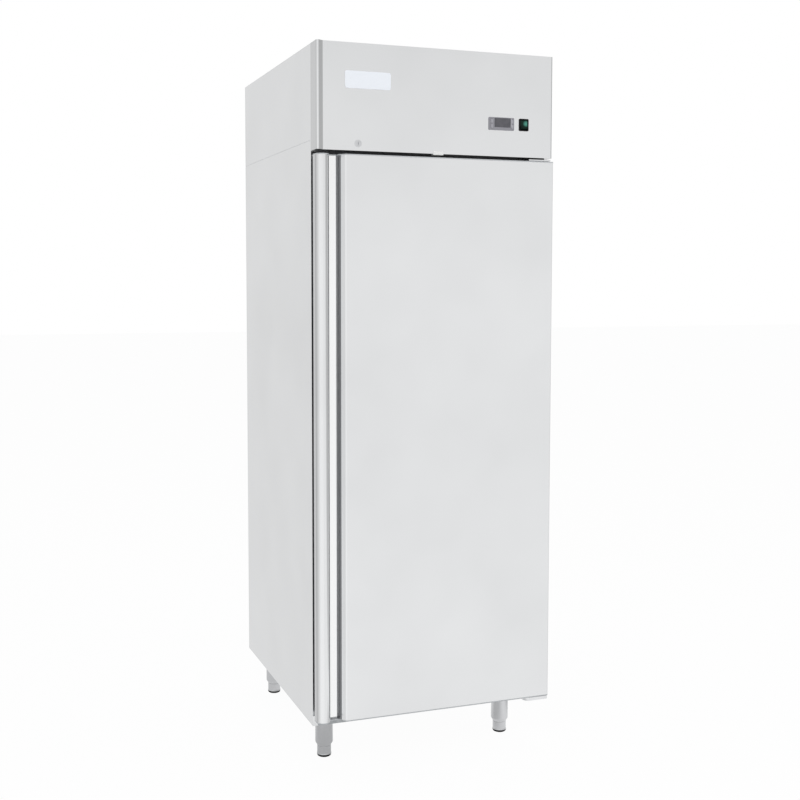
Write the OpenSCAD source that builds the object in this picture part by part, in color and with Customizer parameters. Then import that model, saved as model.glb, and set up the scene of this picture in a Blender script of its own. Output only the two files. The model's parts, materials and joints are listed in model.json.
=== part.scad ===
/* [Cabinet] */
// Overall width
cab_w = 700; // [660:10:800]
// Overall depth, from the door's face to the back panel
cab_d = 800; // [780:10:900]
// Overall height, standing on its feet
cab_h = 2000; // [1900:10:2150]
// Height of the cabinet's underside above the floor
leg_h = 138; // [130:2:160]
// Thickness of the sheet steel
sheet = 1; // [0.8:0.1:1.5]
// Thickness of a side wall, with its foam
side_wall = 50; // [46:1:70]
// Thickness of the back wall, with its foam
back_wall = 52; // [46:1:80]
// Width of the steel flange on each front edge of the cabinet
front_flange = 15; // [10:1:20]
// Depth of the frame strips round the opening
frame_t = 6; // [4:1:10]
// Radius of the coved corners inside
cove_r = 14; // [8:1:25]

/* [Machine compartment] */
// Height of the front panel above the door
header_h = 284; // [276:2:320]
// How far the side seam lies above the front panel's lower edge
seam_rise = 28; // [20:1:40]
// Radius of the front panel's upright corners
header_r = 5; // [4:0.5:7]
// How far the ridge at the front panel's left corner stands proud of the panel
ridge_h = 7; // [5:0.5:9]
// Slope from that ridge down to the panel, in degrees
ridge_angle = 28; // [22:1:34]
// Width of a vent slot
vent_w = 8; // [5:0.5:12]
// Distance from one vent slot to the next
vent_pitch = 22; // [18:1:30]

/* [Door] */
// Depth from the door's face to the cabinet's front
door_zone = 54; // [52:1:60]
// Depth of the door's outer pan
pan_d = 37; // [35:1:40]
// Radius of the handle's rounded nose
nose_r = 19.5; // [17:0.5:21]
// Width of the finger groove beside the nose
groove_w = 24; // [20:1:28]
// Depth of the finger groove
groove_d = 30; // [26:1:31]
// Depth at which the groove's wall gives way to the slope beside the face
slope_d = 17; // [12:1:20]
// Angle between that slope and the face, in degrees
slope_angle = 50; // [42:1:58]
// Lean of the groove's wall, in degrees
wall_lean = 14; // [8:1:20]
// Gap between the front panel and the door
head_gap = 10; // [8:0.5:14]
// Height of the door's lower edge above the cabinet's underside
door_lift = 22; // [18:1:28]
// Thickness of the door's end caps
cap_t = 3; // [2:0.5:5]
// Width of the magnetic gasket
gasket_w = 20; // [16:1:22]
// How far the gasket lies inside the door's edge
gasket_inset = 25; // [24:1:28]
// How far the door's inner tray reaches into the opening
tray_proud = 6; // [3:1:12]

/* [Hinges] */
// Distance of the hinge axis from the door's side and face
hinge_inset = 22; // [18:1:23]
// Radius of the hinge pins
pin_r = 5; // [4:0.5:6]
// Outer radius of the hinge bushes
bush_r = 8; // [7:0.5:10]
// Depth of a hinge bush in the door
bush_h = 24; // [18:1:35]
// Length of the lower bracket along the front
bracket_w = 72; // [60:1:100]
// Height of the lower bracket
bracket_h = 10; // [9:0.5:13]
// Thickness of the upper bracket's plate
hinge_plate = 4; // [3:0.5:5]

/* [Controls] */
// Width of the controller's bezel
controller_w = 77; // [70:1:90]
// Height of the controller's bezel
controller_h = 35; // [30:0.5:38]
// Depth of the controller's case behind the panel
controller_d = 56; // [40:1:70]
// Height of the controls' centre line above the panel's lower edge
controls_rise = 90; // [70:1:140]
// Distance of the controller's centre from the cabinet's right side
controller_inset = 160; // [140:0.5:200]
// Travel of a controller button
button_travel = 0.8; // [0.5:0.1:1.2]
// Width of the rocker switch's frame
rocker_w = 29; // [26:1:34]
// Height of the rocker switch's frame
rocker_h = 34; // [28:1:38]
// Swing of the rocker, in degrees
rocker_swing = 20; // [12:1:24]
// Distance of the rocker's centre from the cabinet's right side
rocker_inset = 90.5; // [60:0.5:100]
// Radius of the lock's face
lock_r = 10; // [8:0.5:13]
// Distance of the lock from the cabinet's left side
lock_inset = 118; // [90:1:160]
// Height of the lock above the panel's lower edge
lock_rise = 19; // [17:0.5:24]
// Reach of the lock's cam from its axis
cam_reach = 35; // [32:0.5:40]
// Width of the blank badge plate
badge_w = 130; // [80:1:160]
// Height of the blank badge plate
badge_h = 46; // [30:1:60]

/* [Legs] */
// Radius of the leg tubes
leg_r = 25.4; // [20:0.2:30]
// Radius of the adjustable feet
foot_r = 20; // [15:0.5:22]
// Distance of the leg centres from the cabinet's sides
leg_inset = 70; // [60:1:100]
// Distance of the front legs from the door's face
leg_front = 176; // [150:1:240]
// Distance of the back legs from the cabinet's back
leg_back = 62; // [50:1:100]
// Height of the foot below the leg tube
foot_h = 32; // [28:1:40]
// Thickness of the black pad under each foot
pad_h = 6.5; // [3:0.5:8]
// Radius of the foot's threaded stem
stem_r = 8; // [6:0.5:10]
// How far a foot screws out
foot_travel = 30; // [20:1:40]

/* [Shelves] */
// Radius of a shelf's border rod
rod_r = 4; // [3:0.5:5]
// Radius of a shelf's wires
wire_r = 2.2; // [1.5:0.1:2.8]
// Distance from one shelf wire to the next
wire_pitch = 31; // [26:1:45]
// Air gap before and behind each shelf
shelf_air = 24; // [15:1:60]
// Height of the lowest shelf above the floor of the cavity
first_shelf = 300; // [200:10:340]
// Distance from one shelf to the next
shelf_pitch = 305; // [250:5:320]
// Depth of the shelf uprights from the wall
upright_t = 11; // [8:1:14]
// Width of a shelf upright
upright_w = 26; // [20:1:32]
// Distance from one slot of an upright to the next
slot_pitch = 61; // [40:1:80]
// Width of a runner's ledge
ledge_w = 20; // [14:1:24]

/* [Cooling unit inside] */
// Height of the evaporator's cover below the ceiling
cooler_h = 186; // [176:2:200]
// Distance from the opening to the evaporator's cover
cooler_setback = 190; // [150:5:230]
// Radius of the evaporator fan
cooler_fan_r = 74; // [60:1:76]
// Number of fins on the evaporator
cooler_fins = 26; // [16:1:34]

/* [Condensing unit] */
// Radius of the condenser fan
unit_fan_r = 88; // [70:1:92]
// Width of the condenser
condenser_w = 290; // [240:5:320]
// Height of the condenser
condenser_h = 205; // [200:1:210]
// Number of fins on the condenser
condenser_fins = 28; // [16:1:36]
// Radius of the compressor's shell
compressor_r = 78; // [65:1:90]
// Height of the compressor's shell
compressor_h = 168; // [150:1:190]
// Radius of the refrigerant pipes
pipe_r = 4; // [3:0.5:5]

/* [Hidden] */
$fn = 48;

// Clearances: between moving bodies, and of a pin in its bush
gap = 0.3;
run = 0.05;
// Overshoot of a cut past the face it cuts
over = 1;

// The cabinet stands centred on the origin, with its door towards -Y
left_x = -cab_w / 2;
right_x = cab_w / 2;
face_y = -cab_d / 2;
back_y = cab_d / 2;
front_y = face_y + door_zone;
panel_y = face_y + ridge_h;
header_z = cab_h - header_h;
seam_z = header_z + seam_rise;
door_z0 = leg_h + door_lift;
door_z1 = header_z - head_gap;
door_h = door_z1 - door_z0;

// The cavity, whose opening lies inside the gasket
seal_margin = gasket_inset + gasket_w + 3;
cavity_x = cab_w / 2 - side_wall;
cavity_y0 = front_y + frame_t;
cavity_y1 = back_y - back_wall;
cavity_z0 = door_z0 + seal_margin;
cavity_z1 = door_z1 - seal_margin;

module block(lo, hi) {
    translate(lo) cube(hi - lo);
}

// A plate in the XY plane, w by d, with round corners, standing t high
module round_plate(w, d, r, t) {
    linear_extrude(height = t) round_rect(w, d, r);
}

module round_rect(w, d, r) {
    square([w - 2 * r, d], center = true);
    square([w, d - 2 * r], center = true);
    for (x = [-1, 1], y = [-1, 1])
        translate([x * (w / 2 - r), y * (d / 2 - r)]) circle(r = r);
}

// The same plate facing the front: w wide, h high, t deep behind y = 0
module front_plate(w, h, r, t) {
    rotate([-90, 0, 0]) round_plate(w, h, r, t);
}

module y_cylinder(r, h) {
    rotate([-90, 0, 0]) cylinder(r = r, h = h);
}

// ---- insulated cabinet ----

module side_panel(side) {
    color("gainsboro")
    mirror([side < 0 ? 1 : 0, 0, 0]) {
        block([right_x - sheet, front_y, leg_h], [right_x, back_y, seam_z]);
        block([right_x - front_flange, front_y, leg_h],
            [right_x - sheet, front_y + sheet, seam_z]);
    }
}

module back_panel() {
    color("silver") difference() {
        block([left_x + sheet, back_y - sheet, leg_h + sheet],
            [right_x - sheet, back_y, seam_z - sheet]);
        for (z = rib_heights())
            translate([0, back_y - sheet / 2, z])
                block([-rib_w / 2, 0, -rib_t], [rib_w / 2, sheet, rib_t]);
    }
}
rib_w = cab_w * 0.7;
rib_t = 2;
function rib_heights() = [for (i = [1:4]) leg_h + (seam_z - leg_h) * i / 5];

module bottom_panel() {
    color("silver") difference() {
        union() {
            block([left_x + sheet, front_y, leg_h], [right_x - sheet, back_y, leg_h + sheet]);
            block([left_x + sheet, front_y, leg_h + sheet],
                [right_x - sheet, front_y + sheet, leg_h + front_flange]);
        }
        for (side = [-1, 1])
            translate([side * (cab_w / 2 - front_flange), front_y, leg_h + sheet])
                block([side < 0 ? -front_flange : -gap, -over, -sheet - over],
                    [side < 0 ? gap : front_flange, sheet + over, front_flange]);
        translate([0, drain_y, leg_h]) cylinder(r = drain_r, h = 4 * sheet, center = true);
    }
}

module top_panel() {
    color("silver") difference() {
        block([left_x + sheet, front_y + sheet, seam_z - sheet],
            [right_x - sheet, back_y, seam_z]);
        pipe_holes();
    }
}

module cavity_plan(grow) {
    r = cove_r + grow;
    y1 = cavity_y1 + grow;
    x1 = cavity_x + grow;
    translate([-x1, cavity_y0]) square([2 * x1, y1 - r - cavity_y0]);
    translate([-x1 + r, cavity_y0]) square([2 * (x1 - r), y1 - cavity_y0]);
    for (side = [-1, 1]) translate([side * (x1 - r), y1 - r]) circle(r = r);
}

// Foam in slabs: two sides, back, floor and ceiling, with a post behind each coved corner
module insulation() {
    x1 = cavity_x + sheet;
    y1 = cavity_y1 + sheet;
    z0 = leg_h + sheet;
    z1 = seam_z - sheet;
    front = front_y + frame_t;
    r = cove_r + sheet;
    color("khaki") difference() {
        union() {
            for (side = [-1, 1]) mirror([side < 0 ? 1 : 0, 0, 0]) {
                block([x1, front, z0], [right_x - sheet, back_y - sheet, z1]);
                difference() {
                    block([x1 - r, y1 - r, cavity_z0], [x1 - gap, y1 - gap, cavity_z1]);
                    translate([x1 - r, y1 - r, cavity_z0 - over])
                        cylinder(r = r, h = cavity_z1 - cavity_z0 + 2 * over);
                }
            }
            block([gap - x1, y1, z0], [x1 - gap, back_y - sheet, z1]);
            for (z = [[z0, cavity_z0 - sheet], [cavity_z1 + sheet, z1]])
                block([gap - x1, front, z[0]], [x1 - gap, y1 - gap, z[1]]);
        }
        drain_route(drain_r);
        pipe_holes();
    }
}

module inner_liner() {
    color("lightgray") difference() {
        translate([0, 0, cavity_z0 - sheet])
            linear_extrude(height = cavity_z1 - cavity_z0 + 2 * sheet) cavity_plan(sheet);
        translate([0, 0, cavity_z0])
            linear_extrude(height = cavity_z1 - cavity_z0) cavity_plan(0);
        block([-cavity_x, cavity_y0 - over, cavity_z0], [cavity_x, cavity_y0 + over, cavity_z1]);
        drain_route(drain_r);
        pipe_holes();
    }
}

// Four strips that close the foam round the opening, tucked behind the steel flanges
module front_frame() {
    flange_x = cab_w / 2 - front_flange;
    color("whitesmoke") {
        for (side = [-1, 1]) mirror([side < 0 ? 1 : 0, 0, 0]) {
            block([cavity_x, front_y, leg_h + front_flange], [flange_x, cavity_y0, seam_z - sheet]);
            block([flange_x, front_y + sheet, leg_h + front_flange],
                [right_x - sheet, cavity_y0, seam_z - sheet]);
        }
        for (z = [[leg_h + front_flange, cavity_z0], [cavity_z1, seam_z - sheet]])
            block([-cavity_x + gap, front_y, z[0]], [cavity_x - gap, cavity_y0, z[1]]);
    }
}

// ---- machine compartment ----

// Each side stands on a hem a little above the cabinet, so that the seam shows as a fine groove
seam_gap = 1.2;

module header_side(side) {
    color("gainsboro")
    mirror([side < 0 ? 1 : 0, 0, 0]) {
        block([right_x - sheet, front_y, seam_z + seam_gap], [right_x, back_y, cab_h - sheet]);
        block([right_x - 2 * sheet, front_y + sheet, seam_z],
            [right_x - sheet, back_y - sheet, seam_z + front_flange]);
        for (y = [front_y, back_y - sheet])
            block([right_x - front_flange, y, seam_z + seam_gap],
                [right_x - sheet, y + sheet, cab_h - sheet]);
    }
}

// Plan of the front panel: at the left a ridge, from which a slope falls to the flat
arc_steps = 8;
function arc_points(centre, r, a0, a1) =
    [for (k = [0:arc_steps]) let (a = a0 + (a1 - a0) * k / arc_steps)
        [centre[0] + r * cos(a), centre[1] + r * sin(a)]];

module header_plan(i) {
    r = header_r - i;
    ridge = [header_r + r * sin(ridge_angle), header_r - r * cos(ridge_angle)];
    polygon(concat(
        [[i, door_zone]],
        arc_points([header_r, header_r], r, 180, 270 + ridge_angle),
        [[ridge[0] + (ridge_h + i - ridge[1]) / tan(ridge_angle), ridge_h + i]],
        arc_points([cab_w - header_r, ridge_h + header_r], r, 270, 360),
        [[cab_w - i, door_zone]]));
}

module header_front() {
    color("gainsboro") difference() {
        translate([left_x, face_y, header_z]) difference() {
            linear_extrude(height = header_h) header_plan(0);
            translate([0, 0, sheet]) linear_extrude(height = header_h - 2 * sheet)
                header_plan(sheet);
        }
        at_controls(controller_x) translate([0, -over, 0])
            front_plate(case_w, case_h, 1, 2 * over + sheet);
        at_controls(rocker_x) translate([0, -over, 0])
            front_plate(switch_w, switch_h, 1, 2 * over + sheet);
        translate([lock_x, panel_y - over, lock_z]) y_cylinder(lock_body_r, 2 * over + sheet);
        cam_slot(header_z - over, header_z + sheet + over);
    }
}

module header_lid() {
    slots = floor((cab_w - 2 * vent_margin) / vent_pitch);
    slot_y = [front_y + vent_margin, back_y - vent_margin - vent_l];
    color("gainsboro") difference() {
        union() {
            block([left_x, front_y, cab_h - sheet], [right_x, back_y, cab_h]);
            for (side = [-1, 1]) mirror([side < 0 ? 1 : 0, 0, 0])
                block([right_x - 2 * sheet, front_y + front_flange, cab_h - front_flange],
                    [right_x - sheet, back_y - front_flange, cab_h - sheet]);
        }
        for (y = slot_y, k = [0:slots])
            translate([-slots * vent_pitch / 2 + k * vent_pitch, y, cab_h])
                block([-vent_w / 2, 0, -2 * sheet], [vent_w / 2, vent_l, sheet]);
    }
}
vent_margin = 110;
vent_l = 170;

// Louvred panel that closes the compartment at the back
module header_back() {
    louvres = 6;
    first = seam_z + 60;
    pitch = (cab_h - sheet - 45 - first) / (louvres - 1);
    color("silver") difference() {
        union() {
            block([left_x + front_flange, back_y - sheet, seam_z],
                [right_x - front_flange, back_y, cab_h - sheet]);
            for (k = [0:louvres - 1]) translate([louvre_x, back_y - sheet, first + k * pitch])
                rotate([-35, 0, 0]) block([0, -louvre_d, 0], [louvre_w, 0, sheet]);
        }
        for (k = [0:louvres - 1]) translate([louvre_x, back_y - sheet, first + k * pitch])
            block([0, -over / 4, -9], [louvre_w, 2 * sheet, -1]);
        translate([gland_x, back_y - sheet - over, gland_z]) y_cylinder(gland_thread_r, 2 * over + sheet);
        block([left_x, back_y, seam_z], [right_x, back_y + 20, cab_h]);
    }
}
louvre_d = 14;
louvre_w = cab_w * 0.6;
louvre_x = left_x + 40;

module badge_plate() {
    color("whitesmoke")
    translate([left_x + badge_left + badge_w / 2, panel_y - badge_t, header_z + badge_rise + badge_h / 2])
        front_plate(badge_w, badge_h, 6, badge_t);
}
badge_left = 81;
badge_rise = 164;
badge_t = 1.2;

// ---- controls ----

controls_z = header_z + controls_rise;
controller_x = right_x - controller_inset;
rocker_x = right_x - rocker_inset;
case_w = controller_w - 8;
case_h = controller_h - 4.5;
bezel_t = 3;
switch_w = rocker_w - 4;
switch_h = rocker_h - 4;

module at_controls(x) {
    translate([x, panel_y, controls_z]) children();
}

window_w = 50;
window_h = 25.5;
window_x = 16.5 - controller_w / 2 + window_w / 2;
window_z = 3;
button_w = 6;
button_h = 11;
button_left = 8.5 - controller_w / 2;
button_right = controller_w / 2 - 5.2;
button_t = 2.5;

function button_place(name) =
    [name == "set" || name == "light" ? button_left : button_right,
        (name == "set" || name == "up" ? 1 : -1) * (button_h + 3) / 2];

module button_shape(grow, h) {
    front_plate(button_w + 2 * grow, button_h + 2 * grow, 1.2 + grow, h);
}

module controller_body() {
    color("silver") at_controls(controller_x) difference() {
        union() {
            translate([0, -bezel_t, 0]) front_plate(controller_w, controller_h, 2.5, bezel_t);
            front_plate(case_w, case_h, 1, controller_d);
        }
        translate([window_x, -bezel_t - over, window_z])
            front_plate(window_w, window_h, 1, window_t + over);
        for (name = ["set", "light", "up", "down"]) let (p = button_place(name))
            translate([p[0], -bezel_t - over, p[1]])
                button_shape(gap, over + button_t - button_proud + button_travel + gap);
    }
}
window_t = 1.5;
button_proud = 1;

module controller_window() {
    color("#65636b") at_controls(controller_x)
        translate([window_x, -bezel_t, window_z]) front_plate(window_w, window_h, 1, window_t);
}

module controller_button(name) {
    p = button_place(name);
    color("gray") at_controls(controller_x)
        translate([p[0], -bezel_t - button_proud, p[1]]) button_shape(0, button_t);
}

switch_lip = 2.5;
switch_d = 26;
rocker_x_w = switch_w - 4;
rocker_half = switch_h / 2 - 3.2;
trunnion_r = 1.5;

module switch_frame() {
    color("#161616") at_controls(rocker_x) difference() {
        union() {
            translate([0, -switch_lip, 0]) front_plate(rocker_w, rocker_h, 3, switch_lip);
            front_plate(switch_w, switch_h, 1, switch_d);
            for (k = [-1, 0, 1]) translate([0, 0, k * 8])
                block([-3, switch_d - over, -0.5], [3, switch_d + 8, 0.5]);
        }
        translate([0, -switch_lip - over, 0])
            front_plate(rocker_x_w + 2 * gap, switch_h - 3, 1, over + switch_lip + 12);
        rotate([0, 90, 0]) cylinder(r = trunnion_r + run, h = switch_w - 1, center = true);
    }
}

// The rocker rests with its upper half pressed in
module rocker() {
    color("#0f5c43") at_controls(rocker_x) rotate([-rocker_swing / 2, 0, 0]) {
        rotate([90, 0, 90]) translate([0, 0, -rocker_x_w / 2])
            linear_extrude(height = rocker_x_w) polygon([
                [-3.6, -rocker_half], [-1.6, 0], [-3.6, rocker_half], [0, rocker_half],
                [4, rocker_half / 2], [4, -rocker_half / 2], [0, -rocker_half]]);
        rotate([0, 90, 0]) cylinder(r = trunnion_r, h = rocker_x_w + 1.6, center = true);
    }
}

// ---- lock ----

lock_x = left_x + lock_inset;
lock_z = header_z + lock_rise;
lock_body_r = lock_r - 2;
lock_plug_r = lock_r - 4;
lock_lip = 1.6;
lock_d = 17;
cam_t = 2.5;
cam_w = 12;

module lock_housing() {
    color("darkgray") translate([lock_x, panel_y, lock_z]) difference() {
        union() {
            translate([0, -lock_lip, 0]) y_cylinder(lock_r, lock_lip);
            y_cylinder(lock_body_r, lock_d);
            translate([0, sheet, 0]) rotate([-90, 0, 0]) cylinder(r = lock_r + 3, h = 4, $fn = 6);
        }
        translate([0, -lock_lip - over, 0]) y_cylinder(lock_plug_r + run, lock_d + lock_lip + 2 * over);
    }
}

// Barrel with its cam, which turns down behind the panel into the door's upper edge
module lock_barrel() {
    color("gray") translate([lock_x, panel_y, lock_z]) difference() {
        union() {
            translate([0, -lock_lip, 0]) y_cylinder(lock_plug_r, lock_lip + lock_d + gap + cam_t);
            translate([0, lock_d + gap, 0]) {
                block([0, 0, -cam_w / 2], [cam_reach, cam_t, cam_w / 2]);
                y_cylinder(cam_w / 2 + 1, cam_t);
            }
        }
        block([-0.9, -lock_lip - over, -3.5], [0.9, 6, 3.5]);
    }
}

// Room that the cam needs as it swings down through the panel and into the door
module cam_slot(z0, z1) {
    block([lock_x - cam_w / 2 - 2, panel_y + lock_d - 2, z0],
        [lock_x + cam_reach, panel_y + lock_d + cam_t + 3, z1]);
}

// Reed sensor under the panel's lower edge, at mid width
module door_sensor() {
    color("whitesmoke") union() {
        block([-15, panel_y - 1, header_z], [15, panel_y, header_z + 7]);
        block([-15, panel_y - 1, header_z - 3], [15, panel_y + 13, header_z]);
    }
}

// ---- door ----

// Corner between two faces with the given outward normals, moved i into the solid
function inset(p, n, m, i) = p - i * (n + m) / (1 + n * m);

module door_plan(i, close_groove = false) {
    groove_x = 2 * nose_r + groove_w;
    bend_x = groove_x + (groove_d - slope_d) * tan(wall_lean);
    face_n = [0, -1];
    wall_n = [-cos(wall_lean), -sin(wall_lean)];
    slope_n = [-sin(slope_angle), -cos(slope_angle)];
    foot = inset([groove_x, groove_d], face_n, wall_n, i);
    intersection() {
        translate([nose_r, nose_r]) circle(r = nose_r - i);
        square([2 * nose_r, nose_r]);
    }
    translate([i, nose_r]) square([2 * nose_r - 2 * i, pan_d - nose_r - i]);
    translate([i, groove_d + i]) square([cab_w - 2 * i, pan_d - groove_d - 2 * i]);
    polygon([foot, inset([bend_x, slope_d], wall_n, slope_n, i),
        inset([bend_x + slope_d / tan(slope_angle), 0], slope_n, face_n, i),
        [cab_w - i, i], [cab_w - i, pan_d - i], [foot[0], pan_d - i]]);
    if (close_groove) translate([nose_r, nose_r]) square([groove_x, pan_d - nose_r]);
}

module at_door(z) {
    translate([left_x, face_y, z]) children();
}

liner_edge = 16;
tray_x = cavity_x - 8;
tray_z0 = cavity_z0 + 8;
tray_z1 = cavity_z1 - 8;
tray_y = front_y + tray_proud;
pan_y = face_y + pan_d;

module door_skin() {
    color("gainsboro") difference() {
        at_door(door_z0 + cap_t) linear_extrude(height = door_h - 2 * cap_t) difference() {
            door_plan(0);
            door_plan(sheet);
            translate([liner_edge, pan_d - sheet - over / 2])
                square([cab_w - 2 * liner_edge, sheet + over]);
        }
    }
}

module door_foam() {
    color("khaki") difference() {
        union() {
            at_door(door_z0 + cap_t) linear_extrude(height = door_h - 2 * cap_t) door_plan(sheet);
            block([-tray_x + sheet, pan_y - 2 * sheet, tray_z0 + sheet],
                [tray_x - sheet, tray_y - sheet, tray_z1 - sheet]);
        }
        bush_holes();
        cam_slot(door_z1 - cam_depth, door_z1 + over);
    }
}
cam_depth = cam_reach - lock_rise - head_gap + 4;

module door_liner() {
    color("lightgray") difference() {
        union() {
            block([left_x + liner_edge, pan_y - sheet, door_z0 + cap_t],
                [right_x - liner_edge, pan_y, door_z1 - cap_t]);
            block([-tray_x, pan_y - sheet, tray_z0], [tray_x, tray_y, tray_z1]);
        }
        block([-tray_x + sheet, pan_y - 2 * sheet, tray_z0 + sheet],
            [tray_x - sheet, tray_y - sheet, tray_z1 - sheet]);
    }
}

module door_cap_top() {
    color("silver") difference() {
        at_door(door_z1 - cap_t) linear_extrude(height = cap_t) door_plan(0);
        bush_holes();
        cam_slot(door_z1 - 2 * cap_t, door_z1 + over);
    }
}

module door_cap_bottom() {
    color("silver") difference() {
        at_door(door_z0) linear_extrude(height = cap_t) door_plan(0, true);
        bush_holes();
    }
}

// Hollow magnetic gasket in one ring, pressed flat against the frame strips
module door_gasket() {
    x1 = cab_w / 2 - gasket_inset;
    z0 = door_z0 + gasket_inset;
    z1 = door_z1 - gasket_inset;
    lip_y = front_y - gap;
    color("#3a3a3c") difference() {
        union() {
            block([-x1 + 3, pan_y, z0 + 3], [x1 - 3, lip_y, z1 - 3]);
            block([-x1, lip_y - 6, z0], [x1, lip_y, z1]);
        }
        block([-x1 + gasket_w, pan_y - over, z0 + gasket_w],
            [x1 - gasket_w, front_y + over, z1 - gasket_w]);
    }
}

// ---- hinges ----

hinge_x = right_x - hinge_inset;
hinge_y = face_y + hinge_inset;
bush_lip = 1.5;

module bush_holes() {
    for (z = [door_z0 - over, door_z1 - bush_h])
        translate([hinge_x, hinge_y, z]) cylinder(r = bush_r, h = bush_h + over);
}

module hinge_bushes() {
    color("white") for (end = [0, 1])
        translate([hinge_x, hinge_y, end ? door_z1 : door_z0]) mirror([0, 0, end]) difference() {
            union() {
                cylinder(r = bush_r, h = bush_h);
                translate([0, 0, -bush_lip]) cylinder(r = bush_r + 3, h = bush_lip);
            }
            translate([0, 0, -bush_lip - over]) cylinder(r = pin_r + run, h = bush_h + bush_lip - 2);
        }
}

module hinge_pin_up(z0, z1) {
    translate([hinge_x, hinge_y, z0]) cylinder(r = pin_r, h = z1 - z0);
}

module bottom_hinge() {
    top_z = door_z0 - bush_lip - gap;
    reach = front_y - face_y - 4;
    corner = 18;
    color("silver") union() {
        translate([right_x - bracket_w, front_y - reach, top_z - bracket_h]) {
            difference() {
                linear_extrude(height = bracket_h) difference() {
                    union() {
                        translate([corner, corner]) circle(r = corner);
                        translate([corner, 0]) square([bracket_w - corner, reach]);
                        translate([0, corner]) square([bracket_w, reach - corner]);
                    }
                }
                translate([0, 0, -over]) linear_extrude(height = bracket_h - 4 + over)
                    translate([8, 10]) square([bracket_w - 36, reach - 14]);
            }
        }
        block([right_x - bracket_w, front_y - 4, leg_h + 2],
            [right_x, front_y, top_z]);
        hinge_pin_up(top_z - 4, door_z0 + bush_h - 4 - bush_lip);
    }
}

// Thin enough for the door's corner to pass in front of it
hinge_flange = 2.5;

module top_hinge() {
    low_z = door_z1 + bush_lip + gap;
    color("silver") union() {
        block([right_x - bracket_w, hinge_y - 14, low_z], [right_x - 4, front_y, low_z + hinge_plate]);
        block([right_x - bracket_w, front_y - hinge_flange, low_z - 14],
            [right_x - 4, front_y, low_z]);
        hinge_pin_up(door_z1 - bush_h + 4 + bush_lip, low_z + hinge_plate);
    }
}

// ---- legs ----

leg_places = [[left_x + leg_inset, face_y + leg_front], [right_x - leg_inset, face_y + leg_front],
    [left_x + leg_inset, back_y - leg_back], [right_x - leg_inset, back_y - leg_back]];
leg_wall = 1.5;
plug_h = 22;
swage_h = 11;
plate_t = 3;
plate_w = 2 * leg_r + 34;

module leg_tube() {
    foot_top = foot_h + gap;
    difference() {
        union() {
            rotate_extrude() polygon([
                [stem_r + run, foot_top], [foot_r + 0.6, foot_top], [leg_r, foot_top + swage_h],
                [leg_r, leg_h - plate_t], [leg_r - leg_wall, leg_h - plate_t],
                [leg_r - leg_wall, foot_top + plug_h], [stem_r + run, foot_top + plug_h]]);
            translate([0, 0, leg_h - plate_t]) round_plate(plate_w, plate_w, 10, plate_t);
        }
        for (x = [-1, 1], y = [-1, 1])
            translate([x * (plate_w / 2 - 8), y * (plate_w / 2 - 8), leg_h - plate_t - over])
                cylinder(r = 3.5, h = plate_t + over / 2, $fn = 24);
    }
}

module leg_tubes() {
    color("darkgray") for (p = leg_places) translate(p) leg_tube();
}

// Adjustable foot with its stem up in the leg's threaded plug, and the black pad under it
module foot(i) {
    stem_top = min(foot_h + plug_h + foot_travel + 6, leg_h - plate_t - 4);
    translate(leg_places[i]) {
        color("darkgray") rotate_extrude() polygon([
            [0, pad_h], [foot_r + 0.8, pad_h], [foot_r + 0.8, pad_h + 2], [foot_r, pad_h + 4],
            [foot_r, foot_h - 1], [foot_r - 1, foot_h], [stem_r, foot_h], [stem_r, stem_top],
            [0, stem_top]]);
        color("#1c1c1c") rotate_extrude() polygon([
            [0, 0], [foot_r - 3, 0], [foot_r - 0.8, 1.5], [foot_r + 0.3, pad_h - gap],
            [0, pad_h - gap]]);
    }
}

// ---- shelves ----

upright_x = cavity_x - upright_t;
upright_y = [cavity_y0 + 95, cavity_y1 - 95];
upright_z0 = cavity_z0 + 40;
upright_z1 = cavity_z1 - cooler_h - 30;
shelf_levels = [for (k = [0:2]) cavity_z0 + first_shelf + k * shelf_pitch];
shelf_y0 = cavity_y0 + shelf_air;
shelf_d = cavity_y1 - cavity_y0 - 2 * shelf_air;
shelf_x = upright_x - 2;

module shelf_uprights() {
    slots = floor((upright_z1 - upright_z0 - 40) / slot_pitch);
    color("lightgray") for (side = [-1, 1], y = upright_y) mirror([side < 0 ? 1 : 0, 0, 0])
        difference() {
            block([upright_x, y - upright_w / 2, upright_z0], [cavity_x, y + upright_w / 2, upright_z1]);
            block([upright_x + 1.5, y - upright_w / 2 + 1.5, upright_z0 - over],
                [cavity_x + over, y + upright_w / 2 - 1.5, upright_z1 + over]);
            for (k = [0:slots]) translate([0, y, upright_z0 + 20 + k * slot_pitch])
                block([upright_x - over, -4, -5], [upright_x + 1.5 + over, 4, 5]);
        }
}

module runner(z) {
    y0 = upright_y[0] - 40;
    y1 = upright_y[1] + 40;
    union() {
        block([upright_x - ledge_w, y0, z - 1.5], [upright_x, y1, z]);
        block([upright_x - 1.5, y0, z], [upright_x, y1, z + 22]);
    }
}

module shelf_runners() {
    color("lightgray") for (z = shelf_levels, side = [-1, 1])
        mirror([side < 0 ? 1 : 0, 0, 0]) runner(z);
}

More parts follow.
